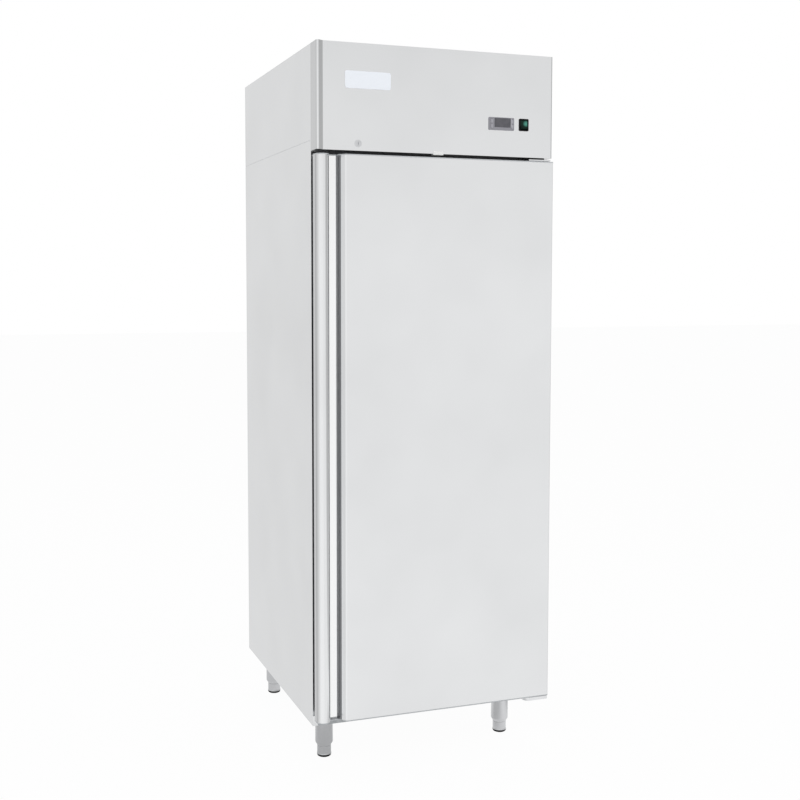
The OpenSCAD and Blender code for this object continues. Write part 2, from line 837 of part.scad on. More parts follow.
// Welded wire shelf: a border rod with round corners, wires across it and flat bars below
module wire_shelf(level) {
    x1 = shelf_x - rod_r - 1.5;
    y1 = shelf_d / 2 - rod_r;
    corner = 20;
    wires = floor(2 * (x1 - rod_r) / wire_pitch);
    color("#d8d8d8")
    translate([0, shelf_y0 + shelf_d / 2, shelf_levels[level] + rod_r]) union() {
        for (s = [-1, 1]) {
            translate([s * x1, 0, 0]) rotate([90, 0, 0])
                cylinder(r = rod_r, h = 2 * (y1 - corner), center = true);
            translate([0, s * y1, 0]) rotate([0, 90, 0])
                cylinder(r = rod_r, h = 2 * (x1 - corner), center = true);
        }
        for (q = [0:3]) rotate([0, 0, 90 * q])
            translate(q % 2 == 0 ? [x1 - corner, y1 - corner, 0] : [y1 - corner, x1 - corner, 0])
                rotate_extrude(angle = 90) translate([corner, 0]) circle(r = rod_r);
        for (k = [0:wires - 1]) translate([(k - (wires - 1) / 2) * wire_pitch, 0, 0])
            rotate([90, 0, 0]) cylinder(r = wire_r, h = 2 * y1, center = true, $fn = 24);
        for (y = [-1, 0, 1]) translate([0, y * shelf_d / 4, 0])
            block([-x1, -4, -rod_r], [x1, 4, -0.6]);
    }
}

// ---- cooling unit in the cavity ----

cooler_z0 = cavity_z1 - cooler_h;
cooler_y0 = cavity_y0 + cooler_setback;
cooler_x = cavity_x - 20;
cooler_axis_z = cavity_z1 - cooler_h / 2 + 4;
duct_wall = 2;
duct_l = 26;
cooler_bend = 22;
coil_y = cavity_y1 - 150;
coil_d = 90;
coil_z = cavity_z1 - 28;

module duct_ring(r, l) {
    difference() {
        y_cylinder(r + 4 + duct_wall, l);
        translate([0, -over, 0]) y_cylinder(r + 4, l + 2 * over);
    }
}

// Rings and spokes of a fan guard, facing the front at y = 0
module fan_guard(r) {
    rings = 4;
    union() {
        for (k = [1:rings]) rotate([90, 0, 0]) rotate_extrude($fn = 32)
            translate([(r + 8) * k / rings, 0]) circle(r = 1.6, $fn = 16);
        for (a = [0, 60, 120]) rotate([0, a, 0]) translate([-r - 8, -1, -1])
            cube([2 * r + 16, 2, 2]);
    }
}

module evaporator_cover() {
    color("gainsboro") {
        difference() {
            union() {
                rotate([90, 0, 90]) translate([0, 0, -cooler_x]) linear_extrude(height = 2 * cooler_x)
                    difference() { cooler_profile(0); cooler_profile(sheet); }
                for (side = [-1, 1]) mirror([side < 0 ? 1 : 0, 0, 0])
                    translate([cooler_x - sheet, 0, 0]) rotate([90, 0, 90])
                        linear_extrude(height = sheet) cooler_profile(0);
                translate([0, cooler_y0 + sheet / 2, cooler_axis_z])
                    duct_ring(cooler_fan_r, duct_l);
            }
            translate([0, cooler_y0 - over, cooler_axis_z]) y_cylinder(cooler_fan_r + 4, 2 * over + sheet);
            for (k = [-6:6]) translate([k * 34, coil_y - 60, cooler_z0 - over])
                block([-6, -110, 0], [6, 0, 2 * over + sheet]);
        }
        translate([0, cooler_y0 - 1.6, cooler_axis_z]) fan_guard(cooler_fan_r);
    }
}

// Side view of the cover: upright face, round lower edge and flat bottom back to the coil
module cooler_profile(i) {
    y1 = cavity_y1;
    translate([cooler_y0 + cooler_bend, cooler_z0 + i])
        square([y1 - cooler_y0 - cooler_bend, cavity_z1 - cooler_z0 - i + (i > 0 ? over : 0)]);
    translate([cooler_y0 + i, cooler_z0 + cooler_bend])
        square([y1 - cooler_y0 - i + (i > 0 ? over : 0), cooler_h - cooler_bend + (i > 0 ? over : 0)]);
    translate([cooler_y0 + cooler_bend, cooler_z0 + cooler_bend]) circle(r = cooler_bend - i);
    if (i > 0) translate([cooler_y0 + cooler_bend, cooler_z0 + i])
        square([y1 - cooler_y0 - cooler_bend + over, cooler_h]);
}

// Fan wheel about the Y axis: a hub and pitched blades
module fan_wheel(r, hub_r, depth, blades) {
    pitch_angle = 28;
    rotate([-90, 0, 0]) difference() {
        union() {
            cylinder(r = hub_r, h = depth);
            for (k = [0:blades - 1]) rotate([0, 0, 360 * k / blades]) intersection() {
                difference() {
                    cylinder(r = r, h = depth);
                    translate([0, 0, -over]) cylinder(r = hub_r - 2, h = depth + 2 * over);
                }
                translate([0, 0, depth / 2]) rotate([pitch_angle, 0, 0])
                    translate([hub_r - 3, -r * 0.32, -0.9]) cube([r, r * 0.64, 1.8]);
            }
        }
        translate([0, 0, -over]) cylinder(r = shaft_r + run, h = depth + 2 * over);
    }
}
shaft_r = 3;

// Motor behind a fan: can, shaft and three arms that reach the duct's rim
module fan_motor(r, can_r, can_l, lead) {
    union() {
        y_cylinder(can_r, can_l);
        translate([0, can_l, 0]) y_cylinder(can_r * 0.7, 5);
        translate([0, -lead, 0]) y_cylinder(shaft_r, lead + over);
        for (a = [90, 210, 330]) rotate([0, a, 0])
            block([can_r - 5, 0, -5], [r + 4 + duct_wall, 2.5, 5]);
    }
}

cooler_rim_y = cooler_y0 + sheet / 2 + duct_l;
wheel_d = 20;
wheel_hub_r = 22;

module evaporator_fan() {
    color("#2b2b2b") translate([0, cooler_rim_y - wheel_d - 3, cooler_axis_z])
        fan_wheel(cooler_fan_r, wheel_hub_r, wheel_d, 5);
}

module evaporator_motor() {
    color("#3c3f44") translate([0, cooler_rim_y, cooler_axis_z])
        fan_motor(cooler_fan_r, wheel_hub_r + 4, 48, wheel_d + 1);
}

// Finned coil: end plates, fins and rows of tube joined by return bends, the lowest bend
// on the side that first_bend gives, 1 or -1
module finned_coil(w, d, h, fins, rows, tube_r, first_bend) {
    pitch = w / (fins + 1);
    row_pitch = h / rows;
    union() {
        for (k = [1:fins]) translate([-w / 2 + k * pitch, 0, 0])
            block([-0.4, 0, 0], [0.4, d, h]);
        for (s = [-1, 1]) translate([s * (w / 2 + 0.4), 0, 0])
            block([-1, -2, 0], [1, d + 2, h + 3]);
        for (k = [0:rows - 1]) translate([0, d / 2, row_pitch * (k + 0.5)])
            rotate([0, 90, 0]) cylinder(r = tube_r, h = w + 16, center = true);
        for (k = [0:rows - 2])
            let (side = first_bend * (k % 2 == 0 ? 1 : -1))
            translate([side * (w / 2 + 7), d / 2, row_pitch * (k + 1)])
                rotate([90, -90 * side, 0]) rotate_extrude(angle = 180)
                    translate([row_pitch / 2, 0]) circle(r = tube_r * 0.9);
    }
}

module evaporator_coil() {
    color("#b9c0c4") translate([0, coil_y, coil_z - evap_coil_h])
        finned_coil(evap_coil_w, coil_d, evap_coil_h, cooler_fins, evap_rows, coil_tube_r, 1);
}
evap_coil_h = cooler_h - 62;
evap_coil_w = 2 * cooler_x - 80;
evap_rows = 4;
coil_tube_r = 4.5;

module drip_tray() {
    z0 = coil_z - evap_coil_h - tray_h;
    x1 = cooler_x - 22;
    color("silver") difference() {
        union() {
            block([-x1, coil_y - 12, z0], [x1, coil_y + coil_d + 12, z0 + tray_h]);
            translate([0, coil_y + coil_d + 12 - over, z0 + drain_bore + 3])
                y_cylinder(drain_bore, cavity_y1 - coil_y - coil_d - 12 + over);
        }
        block([-x1 + 1.2, coil_y - 10.8, z0 + 1.2], [x1 - 1.2, coil_y + coil_d + 10.8, z0 + tray_h - 3]);
        block([-x1 + 30, coil_y - 4, z0 + tray_h - 4], [x1 - 30, coil_y + coil_d + 4, z0 + tray_h + 1]);
        translate([0, coil_y + coil_d, z0 + drain_bore + 3]) y_cylinder(drain_bore - 1.5, back_wall + 80);
    }
}
tray_h = 20;

drain_r = 9;
stub_r = 8.5;
drain_bore = 7;
drain_y = back_y - back_wall / 2;
drain_top = coil_z - evap_coil_h - tray_h + drain_bore + 3;
drain_stub = 22;

module drain_route(r) {
    translate([0, drain_y, leg_h - drain_stub]) cylinder(r = r, h = drain_top + 12 - leg_h + drain_stub);
    translate([0, cavity_y1, drain_top]) y_cylinder(r - 1, drain_y - cavity_y1);
}

module drain_pipe() {
    color("whitesmoke") difference() {
        union() {
            intersection() {
                drain_route(drain_r);
                block([-drain_r, cavity_y1 - over, leg_h], [drain_r, back_y, drain_top + drain_stub]);
            }
            translate([0, drain_y, leg_h - drain_stub]) cylinder(r = stub_r, h = drain_stub + over);
        }
        translate([0, drain_y, leg_h - drain_stub - over])
            cylinder(r = drain_bore, h = drain_top + 9 - leg_h + drain_stub);
        translate([0, cavity_y1 - over, drain_top]) y_cylinder(drain_bore - 1, drain_y - cavity_y1 + over);
    }
}

module interior_lamp() {
    color("white") translate([0, cavity_y0 + 60, cavity_z1]) union() {
        block([-150, -14, -3], [150, 14, 0]);
        rotate([0, 90, 0]) translate([3, 0, -140]) intersection() {
            cylinder(r = 11, h = 280);
            block([0, -11, 0], [12, 11, 280]);
        }
    }
}

// ---- condensing unit ----

deck_z = seam_z;
unit_y = front_y + 70;
unit_x = left_x + 40 + condenser_w / 2;
unit_axis_z = deck_z + 8 + condenser_h / 2;
condenser_d = 66;
shroud_y = unit_y + condenser_d + 2;
shroud_box = 18;
shroud_wall = 1.5;
unit_wheel_d = 24;
unit_hub_r = 24;
condenser_rows = 6;

module condenser_coil() {
    color("#4a4d50") translate([unit_x, unit_y, deck_z])
        finned_coil(condenser_w, condenser_d, condenser_h, condenser_fins, condenser_rows,
            coil_tube_r, -1);
}

module condenser_shroud() {
    color("#3f4245") translate([unit_x, shroud_y, 0]) difference() {
        union() {
            block([-condenser_w / 2 - shroud_wall, 0, deck_z],
                [condenser_w / 2 + shroud_wall, shroud_box, deck_z + condenser_h + 2 * shroud_wall]);
            translate([0, 0, unit_axis_z]) duct_ring(unit_fan_r, shroud_box + unit_wheel_d);
            block([-condenser_w / 2 - shroud_wall, 0, deck_z],
                [condenser_w / 2 + shroud_wall, 60, deck_z + shroud_wall]);
        }
        block([-condenser_w / 2, -over, deck_z + 2],
            [condenser_w / 2, shroud_box - shroud_wall, deck_z + condenser_h + shroud_wall]);
        translate([0, -over, unit_axis_z]) y_cylinder(unit_fan_r + 4, 80);
    }
}

unit_rim_y = shroud_y + shroud_box + unit_wheel_d;

module condenser_fan() {
    color("#20242a") translate([unit_x, unit_rim_y - unit_wheel_d - 3, unit_axis_z])
        fan_wheel(unit_fan_r, unit_hub_r, unit_wheel_d, 5);
}

module condenser_motor() {
    color("#2f3338") translate([unit_x, unit_rim_y, unit_axis_z])
        fan_motor(unit_fan_r, unit_hub_r + 8, 60, unit_wheel_d + 1);
}

compressor_x = right_x - compressor_r - 60;
compressor_y = shroud_y + 60;

module compressor() {
    body_r = compressor_r;
    low = deck_z + 14;
    color("#17181a") translate([compressor_x, compressor_y, 0]) union() {
        translate([0, 0, low]) rotate_extrude() polygon(concat(
            [[0, 0], [body_r * 0.7, 0]],
            [for (k = [0:5]) let (a = -90 + 18 * k)
                [body_r - 16 + 14 * cos(a), 18 + 18 * sin(a)]],
            [[body_r - 2, compressor_h * 0.52], [body_r, compressor_h * 0.52],
                [body_r, compressor_h * 0.55], [body_r - 3, compressor_h * 0.55]],
            [for (k = [0:8]) let (a = 11.25 * k)
                [(body_r - 3) * cos(a), compressor_h * 0.62 + compressor_h * 0.38 * sin(a)]]));
        difference() {
            translate([0, 0, low - 2]) round_plate(2 * body_r + 36, body_r * 1.3, 12, 3);
            for (x = [-1, 1], y = [-1, 1]) translate([x * (body_r + 6), y * (body_r * 0.65 - 14), low - 3])
                cylinder(r = 5, h = 5);
        }
        for (x = [-1, 1], y = [-1, 1]) translate([x * (body_r + 6), y * (body_r * 0.65 - 14), deck_z])
            difference() {
                cylinder(r = 11, h = low - 2 - deck_z);
                translate([0, 0, -over]) cylinder(r = 4, h = 30);
            }
        translate([-body_r * 0.35, -body_r - 14, low + 40]) cube([body_r * 0.7, 40, 52]);
    }
}

function unit_vector(v) = v / norm(v);
function bend(a, b, c, r) = [for (t = [0:0.25:1])
    let (p = b + r * unit_vector(a - b), q = b + r * unit_vector(c - b))
    (1 - t) * (1 - t) * p + 2 * t * (1 - t) * b + t * t * q];
function route(points, r) = concat([points[0]],
    [for (k = [1:len(points) - 2]) each bend(points[k - 1], points[k], points[k + 1], r)],
    [points[len(points) - 1]]);

// Tube swept along a route, one ring of points at each place
module swept_pipe(points, r) {
    sides = 8;
    n = len(points);
    lean = unit_vector([0.31, 0.47, 0.83]);
    rings = [for (k = [0:n - 1])
        let (t = unit_vector(points[min(k + 1, n - 1)] - points[max(k - 1, 0)]),
            u = unit_vector(cross(t, lean)), v = cross(t, u))
        each [for (s = [0:sides - 1]) points[k] + r * (cos(360 * s / sides) * u + sin(360 * s / sides) * v)]];
    polyhedron(points = rings, faces = concat(
        [[for (s = [0:sides - 1]) s]],
        [for (k = [0:n - 2], s = [0:sides - 1])
            [k * sides + s, (k + 1) * sides + s, (k + 1) * sides + (s + 1) % sides,
                k * sides + (s + 1) % sides]],
        [[for (s = [sides - 1:-1:0]) (n - 1) * sides + s]]));
}

bend_r = 8;
// Open ends of the two coils, as [x, y, z]
condenser_in = [unit_x + condenser_w / 2 + 8, unit_y + condenser_d / 2,
    deck_z + condenser_h * (1 - 0.5 / condenser_rows)];
condenser_out = [condenser_in[0], condenser_in[1], deck_z + condenser_h * 0.5 / condenser_rows];
evap_in = [-evap_coil_w / 2 - 8, coil_y + coil_d / 2, coil_z - evap_coil_h * 0.5 / evap_rows];
evap_out = [evap_in[0], evap_in[1], coil_z - evap_coil_h * (1 - 0.5 / evap_rows)];
liquid_x = evap_in[0] - 10;
suction_x = evap_in[0] - 22;
drier_x = unit_x;
drier_y = evap_in[1];
drier_z = deck_z + 60;
drier_l = 90;
drier_end = drier_l / 2 + 29;
shell_z = deck_z + 14 + compressor_h * 0.3;
discharge_x = compressor_x - compressor_r - 24;
suction_z = deck_z + 25;
suction_y = drier_y + 55;
pipe_lane = condenser_in[0] + 24;
shell_side = 25;

module pipe_holes() {
    for (x = [liquid_x, suction_x]) translate([x, evap_in[1], cavity_z1 - over])
        cylinder(r = pipe_r, h = seam_z - cavity_z1 + 2 * over);
}

// Discharge, liquid and suction lines, each from face to face
module pipework() {
    shell_x = compressor_x - compressor_r + 2;
    side_x = compressor_x - sqrt(compressor_r * compressor_r - shell_side * shell_side) + 1;
    lane = pipe_lane;
    color("#b5683c") {
        swept_pipe(route([[shell_x - gap, compressor_y, shell_z],
            [discharge_x, compressor_y, shell_z],
            [discharge_x, compressor_y, condenser_in[2]],
            [discharge_x, condenser_in[1], condenser_in[2]],
            [condenser_in[0] + gap, condenser_in[1], condenser_in[2]]], bend_r), pipe_r);
        swept_pipe(route([[condenser_out[0] + gap, condenser_out[1], condenser_out[2]],
            [lane, condenser_out[1], condenser_out[2]],
            [lane, drier_y, condenser_out[2]],
            [lane, drier_y, drier_z],
            [drier_x + drier_end + gap, drier_y, drier_z]], bend_r), pipe_r);
        swept_pipe(route([[drier_x - drier_end - gap, drier_y, drier_z],
            [liquid_x, drier_y, drier_z],
            [liquid_x, drier_y, evap_in[2]],
            [evap_in[0] - gap, drier_y, evap_in[2]]], bend_r * 0.9), pipe_r);
        swept_pipe(route([[evap_out[0] - gap, evap_out[1], evap_out[2]],
            [suction_x, evap_out[1], evap_out[2]],
            [suction_x, evap_out[1], suction_z],
            [suction_x, suction_y, suction_z],
            [lane + 40, suction_y, suction_z],
            [lane + 40, compressor_y + shell_side, suction_z],
            [lane + 40, compressor_y + shell_side, shell_z],
            [side_x, compressor_y + shell_side, shell_z]], bend_r), pipe_r);
    }
}

module filter_drier() {
    color("#c07a45") translate([drier_x, drier_y, deck_z]) union() {
        translate([0, 0, drier_z - deck_z]) rotate([0, 90, 0])
            cylinder(r = 13, h = drier_l, center = true);
        for (s = [-1, 1]) translate([s * (drier_l / 2 + 14), 0, drier_z - deck_z])
            rotate([0, 90, 0]) cylinder(r = pipe_r + 0.4, h = 30, center = true);
        for (s = [-1, 1]) translate([s * 25, 0, 0]) block([-5, -2, 0], [5, 2, drier_z - deck_z - 12]);
    }
}

box_w = 120;
box_d = 90;
box_h = 132;
box_lid = 14;
box_lip = 6;
box_x = right_x - box_w - 30;
box_y = back_y - box_d - 40;

module electrical_box() {
    color("lightgray") translate([box_x, box_y, deck_z]) difference() {
        union() {
            block([0, 0, 0], [box_w, box_d, box_h - over]);
            block([-box_lip, -box_lip, box_h - box_lid], [box_w + box_lip, box_d + box_lip, box_h]);
        }
        translate([box_w / 2, box_d + over, box_h / 2]) rotate([90, 0, 0]) cylinder(r = 8, h = 20);
    }
}

gland_x = right_x - 200;
gland_z = deck_z + 45;
gland_bore_r = 4.5;
gland_thread_r = 10;

module cable_gland() {
    color("#2a2a2a") translate([gland_x, back_y, gland_z]) rotate([90, 0, 0]) difference() {
        union() {
            translate([0, 0, -12]) cylinder(r = 13, h = 12, $fn = 6);
            translate([0, 0, -over]) cylinder(r = gland_thread_r, h = 16 + over);
            translate([0, 0, sheet]) cylinder(r = 14, h = 5, $fn = 6);
        }
        translate([0, 0, -20]) cylinder(r = gland_bore_r, h = 60);
    }
}

side_panel(-1);  // side_panel_left
side_panel(1);  // side_panel_right
back_panel();
bottom_panel();
top_panel();
insulation();
inner_liner();
front_frame();
header_side(-1);  // header_side_left
header_side(1);  // header_side_right
header_front();
header_lid();
header_back();
badge_plate();
controller_body();
controller_window();
controller_button("set");  // button_set
controller_button("light");  // button_light
controller_button("up");  // button_up
controller_button("down");  // button_down
switch_frame();
rocker();
lock_housing();
lock_barrel();
door_sensor();
door_skin();
door_foam();
door_liner();
door_cap_top();
door_cap_bottom();
door_gasket();
top_hinge();
bottom_hinge();
hinge_bushes();
leg_tubes();
foot(0);  // foot_front_left
foot(1);  // foot_front_right
foot(2);  // foot_back_left
foot(3);  // foot_back_right
shelf_uprights();
shelf_runners();
wire_shelf(2);  // shelf_top
wire_shelf(1);  // shelf_middle
wire_shelf(0);  // shelf_bottom
evaporator_coil();
evaporator_cover();
evaporator_fan();
evaporator_motor();
drip_tray();
drain_pipe();
interior_lamp();
compressor();
condenser_coil();
condenser_shroud();
condenser_fan();
condenser_motor();
pipework();
filter_drier();
electrical_box();
cable_gland();
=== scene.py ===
import json
import math

import bmesh
import bpy
from mathutils import Matrix, Vector


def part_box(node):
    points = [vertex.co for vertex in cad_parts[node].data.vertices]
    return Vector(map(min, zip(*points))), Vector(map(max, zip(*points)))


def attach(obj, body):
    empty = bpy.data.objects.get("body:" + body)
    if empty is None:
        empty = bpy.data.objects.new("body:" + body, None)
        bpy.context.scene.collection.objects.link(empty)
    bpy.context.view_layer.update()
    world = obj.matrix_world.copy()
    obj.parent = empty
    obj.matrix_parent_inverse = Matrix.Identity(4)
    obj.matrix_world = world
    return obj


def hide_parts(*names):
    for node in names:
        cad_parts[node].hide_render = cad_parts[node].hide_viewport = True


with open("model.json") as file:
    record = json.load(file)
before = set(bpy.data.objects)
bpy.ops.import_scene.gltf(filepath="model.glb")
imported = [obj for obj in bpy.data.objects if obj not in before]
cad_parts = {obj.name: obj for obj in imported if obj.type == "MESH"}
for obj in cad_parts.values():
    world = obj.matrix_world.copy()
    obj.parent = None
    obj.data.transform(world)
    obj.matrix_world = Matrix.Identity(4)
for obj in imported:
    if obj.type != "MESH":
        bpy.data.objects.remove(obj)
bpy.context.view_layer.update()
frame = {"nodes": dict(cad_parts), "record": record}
record = frame["record"]
body_of_node = {n: b for b, nodes in record["behaviour"]["bodies"].items() for n in nodes}
slot_of_node = {s["node"]: s["material_slot"] for s in record["subparts"]}
scene = bpy.context.scene
MM = 0.001


# ---- camera ----

def place_camera():
    data = bpy.data.cameras.new("studio_camera")
    data.sensor_width = 36
    data.lens = 52.53
    data.shift_x, data.shift_y = 0.033, -0.0425
    data.clip_end = 60
    cam = bpy.data.objects.new("studio_camera", data)
    cam.location = (-1.2556, -3.3757, 1.3574)
    cam.rotation_euler = (math.radians(86.037), 0, math.radians(-19.69))
    scene.collection.objects.link(cam)
    scene.camera = cam


place_camera()


# ---- sizes that the pieces share, in metres ----

low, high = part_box("header_front")
skin_low, skin_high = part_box("door_skin")
CAB_X = high[0]
FACE_Y = low[1]
FRONT_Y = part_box("side_panel_left")[0][1]
SHEET = 1 * MM
NOSE_R = 19.5 * MM
GROOVE_W, GROOVE_D = 24 * MM, 30 * MM
SLOPE_D, SLOPE_ANGLE, WALL_LEAN = 17 * MM, math.radians(50), math.radians(14)
PAN_D = skin_high[1] - skin_low[1]
PAD_H = 6.5 * MM
WIRE_PITCH = 31 * MM
CORNERS = ("front_left", "front_right", "back_left", "back_right")


# ---- node and material helpers ----

def linear(code):
    parts = [int(code[i:i + 2], 16) / 255 for i in (1, 3, 5)]
    return (*[c / 12.92 if c <= 0.04045 else ((c + 0.055) / 1.055) ** 2.4 for c in parts], 1)


def add_node(tree, kind, links=None, values=None, **settings):
    node = tree.nodes.new(kind)
    for key, value in settings.items():
        setattr(node, key, value)
    for socket, value in (values or {}).items():
        node.inputs[socket].default_value = value
    for socket, source in (links or {}).items():
        tree.links.new(source, node.inputs[socket])
    return node


def ramp(tree, source, stops):
    node = add_node(tree, "ShaderNodeValToRGB", {"Fac": source})
    points = node.color_ramp.elements
    while len(points) < len(stops):
        points.new(0.5)
    for point, (place, colour) in zip(points, stops):
        point.position = place
        point.color = linear(colour) if isinstance(colour, str) else (colour, colour, colour, 1)
    return node.outputs["Color"]


def new_material(name):
    """A material with its shader, and object coordinates in millimetres"""
    mat = bpy.data.materials.new(name)
    mat.use_nodes = True
    tree = mat.node_tree
    tree.nodes.clear()
    shader = add_node(tree, "ShaderNodeBsdfPrincipled")
    add_node(tree, "ShaderNodeOutputMaterial", {"Surface": shader.outputs["BSDF"]})
    where = add_node(tree, "ShaderNodeTexCoord").outputs["Object"]
    place = add_node(tree, "ShaderNodeMapping", {"Vector": where}, {"Scale": (1000, 1000, 1000)})
    return mat, tree, shader, place.outputs["Vector"]


def noise(tree, place, per_mm, stretch=(1, 1, 1), detail=3.0, rough=0.5):
    """Noise with a given number of grains in a millimetre, stretched along an axis"""
    scaled = add_node(tree, "ShaderNodeMapping", {"Vector": place}, {"Scale": stretch})
    return add_node(tree, "ShaderNodeTexNoise", {"Vector": scaled.outputs["Vector"]},
                    {"Scale": per_mm, "Detail": detail, "Roughness": rough}).outputs["Fac"]


def bump(tree, shader, height, depth_mm, strength=1.0, under=None):
    node = add_node(tree, "ShaderNodeBump", {"Height": height},
                    {"Strength": strength, "Distance": depth_mm * MM})
    if under:
        tree.links.new(under, node.inputs["Normal"])
    tree.links.new(node.outputs["Normal"], shader.inputs["Normal"])
    return node.outputs["Normal"]


# ---- metals ----

def brushed_sheet(name, dark, light, rough, grain=(1, 1, 0.02), cloud=0.004):
    """Stainless sheet with a satin belt finish: a fine one-way grain, drawn at about a third of a
    millimetre so that it shows, over slow clouds where the belt bore harder"""
    mat, tree, shader, place = new_material(name)
    lines = noise(tree, place, 3.0, grain, 4.0, 0.6)
    clouds = noise(tree, place, cloud, (1, 1, 1), 2.0)
    mixed = add_node(tree, "ShaderNodeMath", {0: lines, 1: clouds}, operation="ADD")
    half = add_node(tree, "ShaderNodeMath", {0: mixed.outputs[0]}, {1: 0.5}, operation="MULTIPLY")
    colour = ramp(tree, half.outputs[0], [(0.35, dark), (0.65, light)])
    tree.links.new(colour, shader.inputs["Base Color"])
    spread = add_node(tree, "ShaderNodeMapRange", {"Value": half.outputs[0]},
                      {"From Min": 0.3, "From Max": 0.7, "To Min": rough - 0.03,
                       "To Max": rough + 0.03})
    tree.links.new(spread.outputs["Result"], shader.inputs["Roughness"])
    shader.inputs["Metallic"].default_value = 1.0
    bump(tree, shader, lines, 0.01, 0.25)
    return mat


def galvanised_sheet():
    """Hot-dip galvanised sheet: dull zinc with faint spangle about 12 mm across"""
    mat, tree, shader, place = new_material("galvanised_sheet")
    cells = add_node(tree, "ShaderNodeTexVoronoi", {"Vector": place}, {"Scale": 0.08})
    fine = noise(tree, place, 0.5)
    tone = add_node(tree, "ShaderNodeMix", {"Factor": fine, "A": cells.outputs["Distance"]},
                    {"B": 0.5})
    tree.links.new(ramp(tree, tone.outputs["Result"], [(0.1, "#a3a7a9"), (0.8, "#c2c6c8")]),
                   shader.inputs["Base Color"])
    shader.inputs["Metallic"].default_value = 0.85
    shader.inputs["Roughness"].default_value = 0.48
    bump(tree, shader, fine, 0.02, 0.3)
    return mat


def plated_metal(name, dark, light, rough, metallic=1.0):
    """Plated or drawn metal: an even tone broken by small marks of handling"""
    mat, tree, shader, place = new_material(name)
    marks = noise(tree, place, 0.35, (1, 1, 1), 5.0, 0.65)
    tree.links.new(ramp(tree, marks, [(0.3, dark), (0.7, light)]), shader.inputs["Base Color"])
    spread = add_node(tree, "ShaderNodeMapRange", {"Value": marks},
                      {"To Min": rough - 0.04, "To Max": rough + 0.06})
    tree.links.new(spread.outputs["Result"], shader.inputs["Roughness"])
    shader.inputs["Metallic"].default_value = metallic
    bump(tree, shader, marks, 0.01, 0.2)
    return mat


def painted_steel(name, dark, light, rough):
    """Stoved paint on pressed steel, with slight orange peel about 1.5 mm across"""
    mat, tree, shader, place = new_material(name)
    peel = noise(tree, place, 0.65, (1, 1, 1), 2.0)
    tree.links.new(ramp(tree, peel, [(0.3, dark), (0.7, light)]), shader.inputs["Base Color"])
    shader.inputs["Roughness"].default_value = rough
    shader.inputs["Coat Weight"].default_value = 0.2
    bump(tree, shader, peel, 0.05, 0.4)
    return mat


# ---- plastics, rubber and foam ----

def moulded_plastic(name, dark, light, rough, grain_mm=0.6, depth_mm=0.02, gloss=0.5):
    """Injection-moulded ABS or nylon: spark-eroded texture of a given grain, and a soft sheen"""
    mat, tree, shader, place = new_material(name)
    grain = noise(tree, place, 1 / grain_mm, (1, 1, 1), 3.0)
    tree.links.new(ramp(tree, grain, [(0.3, dark), (0.7, light)]), shader.inputs["Base Color"])
    shader.inputs["Roughness"].default_value = rough
    shader.inputs["Specular IOR Level"].default_value = gloss
    bump(tree, shader, grain, depth_mm, 0.4)
    return mat


def clear_moulding(name, dark, light, rough, gloss=0.5, lamp=None):
    """Tinted polycarbonate over a dark cavity: smooth and glossy, its colour lying under the gloss.
    A lamp behind it glows through and fades outwards from its place"""
    mat, tree, shader, place = new_material(name)
    drift = noise(tree, place, 0.08, (1, 1, 1), 1.0)
    tree.links.new(ramp(tree, drift, [(0.35, dark), (0.65, light)]), shader.inputs["Base Color"])
    shader.inputs["Roughness"].default_value = rough
    shader.inputs["Specular IOR Level"].default_value = gloss
    shader.inputs["Coat Weight"].default_value = 0.8 * gloss
    shader.inputs["Coat Roughness"].default_value = 0.06
    if lamp:
        colour, centre, near, far = lamp
        away = add_node(tree, "ShaderNodeVectorMath", {0: place}, {1: centre},
                        operation="DISTANCE")
        fade = add_node(tree, "ShaderNodeMapRange", {"Value": away.outputs["Value"]},
                        {"From Min": near, "From Max": far, "To Min": 1.0, "To Max": 0.0})
        tree.links.new(ramp(tree, fade.outputs["Result"], [(0, "#000000"), (1, colour)]),
                       shader.inputs["Emission Color"])
        shader.inputs["Emission Strength"].default_value = 1.0
    return mat


def soft_rubber():
    """Extruded PVC magnetic gasket: dull, with die lines along its length"""
    mat, tree, shader, place = new_material("gasket_pvc")
    grain = noise(tree, place, 1.2, (1, 1, 1), 3.0)
    tree.links.new(ramp(tree, grain, [(0.3, "#232325"), (0.7, "#3a3a3d")]),
                   shader.inputs["Base Color"])
    shader.inputs["Roughness"].default_value = 0.62
    bump(tree, shader, grain, 0.03, 0.5)
    return mat


def rigid_foam():
    """Polyurethane foam as it sets against steel: pale yellow, with cells about a millimetre across"""
    mat, tree, shader, place = new_material("polyurethane_foam")
    cells = add_node(tree, "ShaderNodeTexVoronoi", {"Vector": place}, {"Scale": 0.9})
    tree.links.new(ramp(tree, cells.outputs["Distance"], [(0.1, "#d9c893"), (0.8, "#efe3b8")]),
                   shader.inputs["Base Color"])
    shader.inputs["Roughness"].default_value = 0.9
    bump(tree, shader, cells.outputs["Distance"], 0.3, 0.6)
    return mat


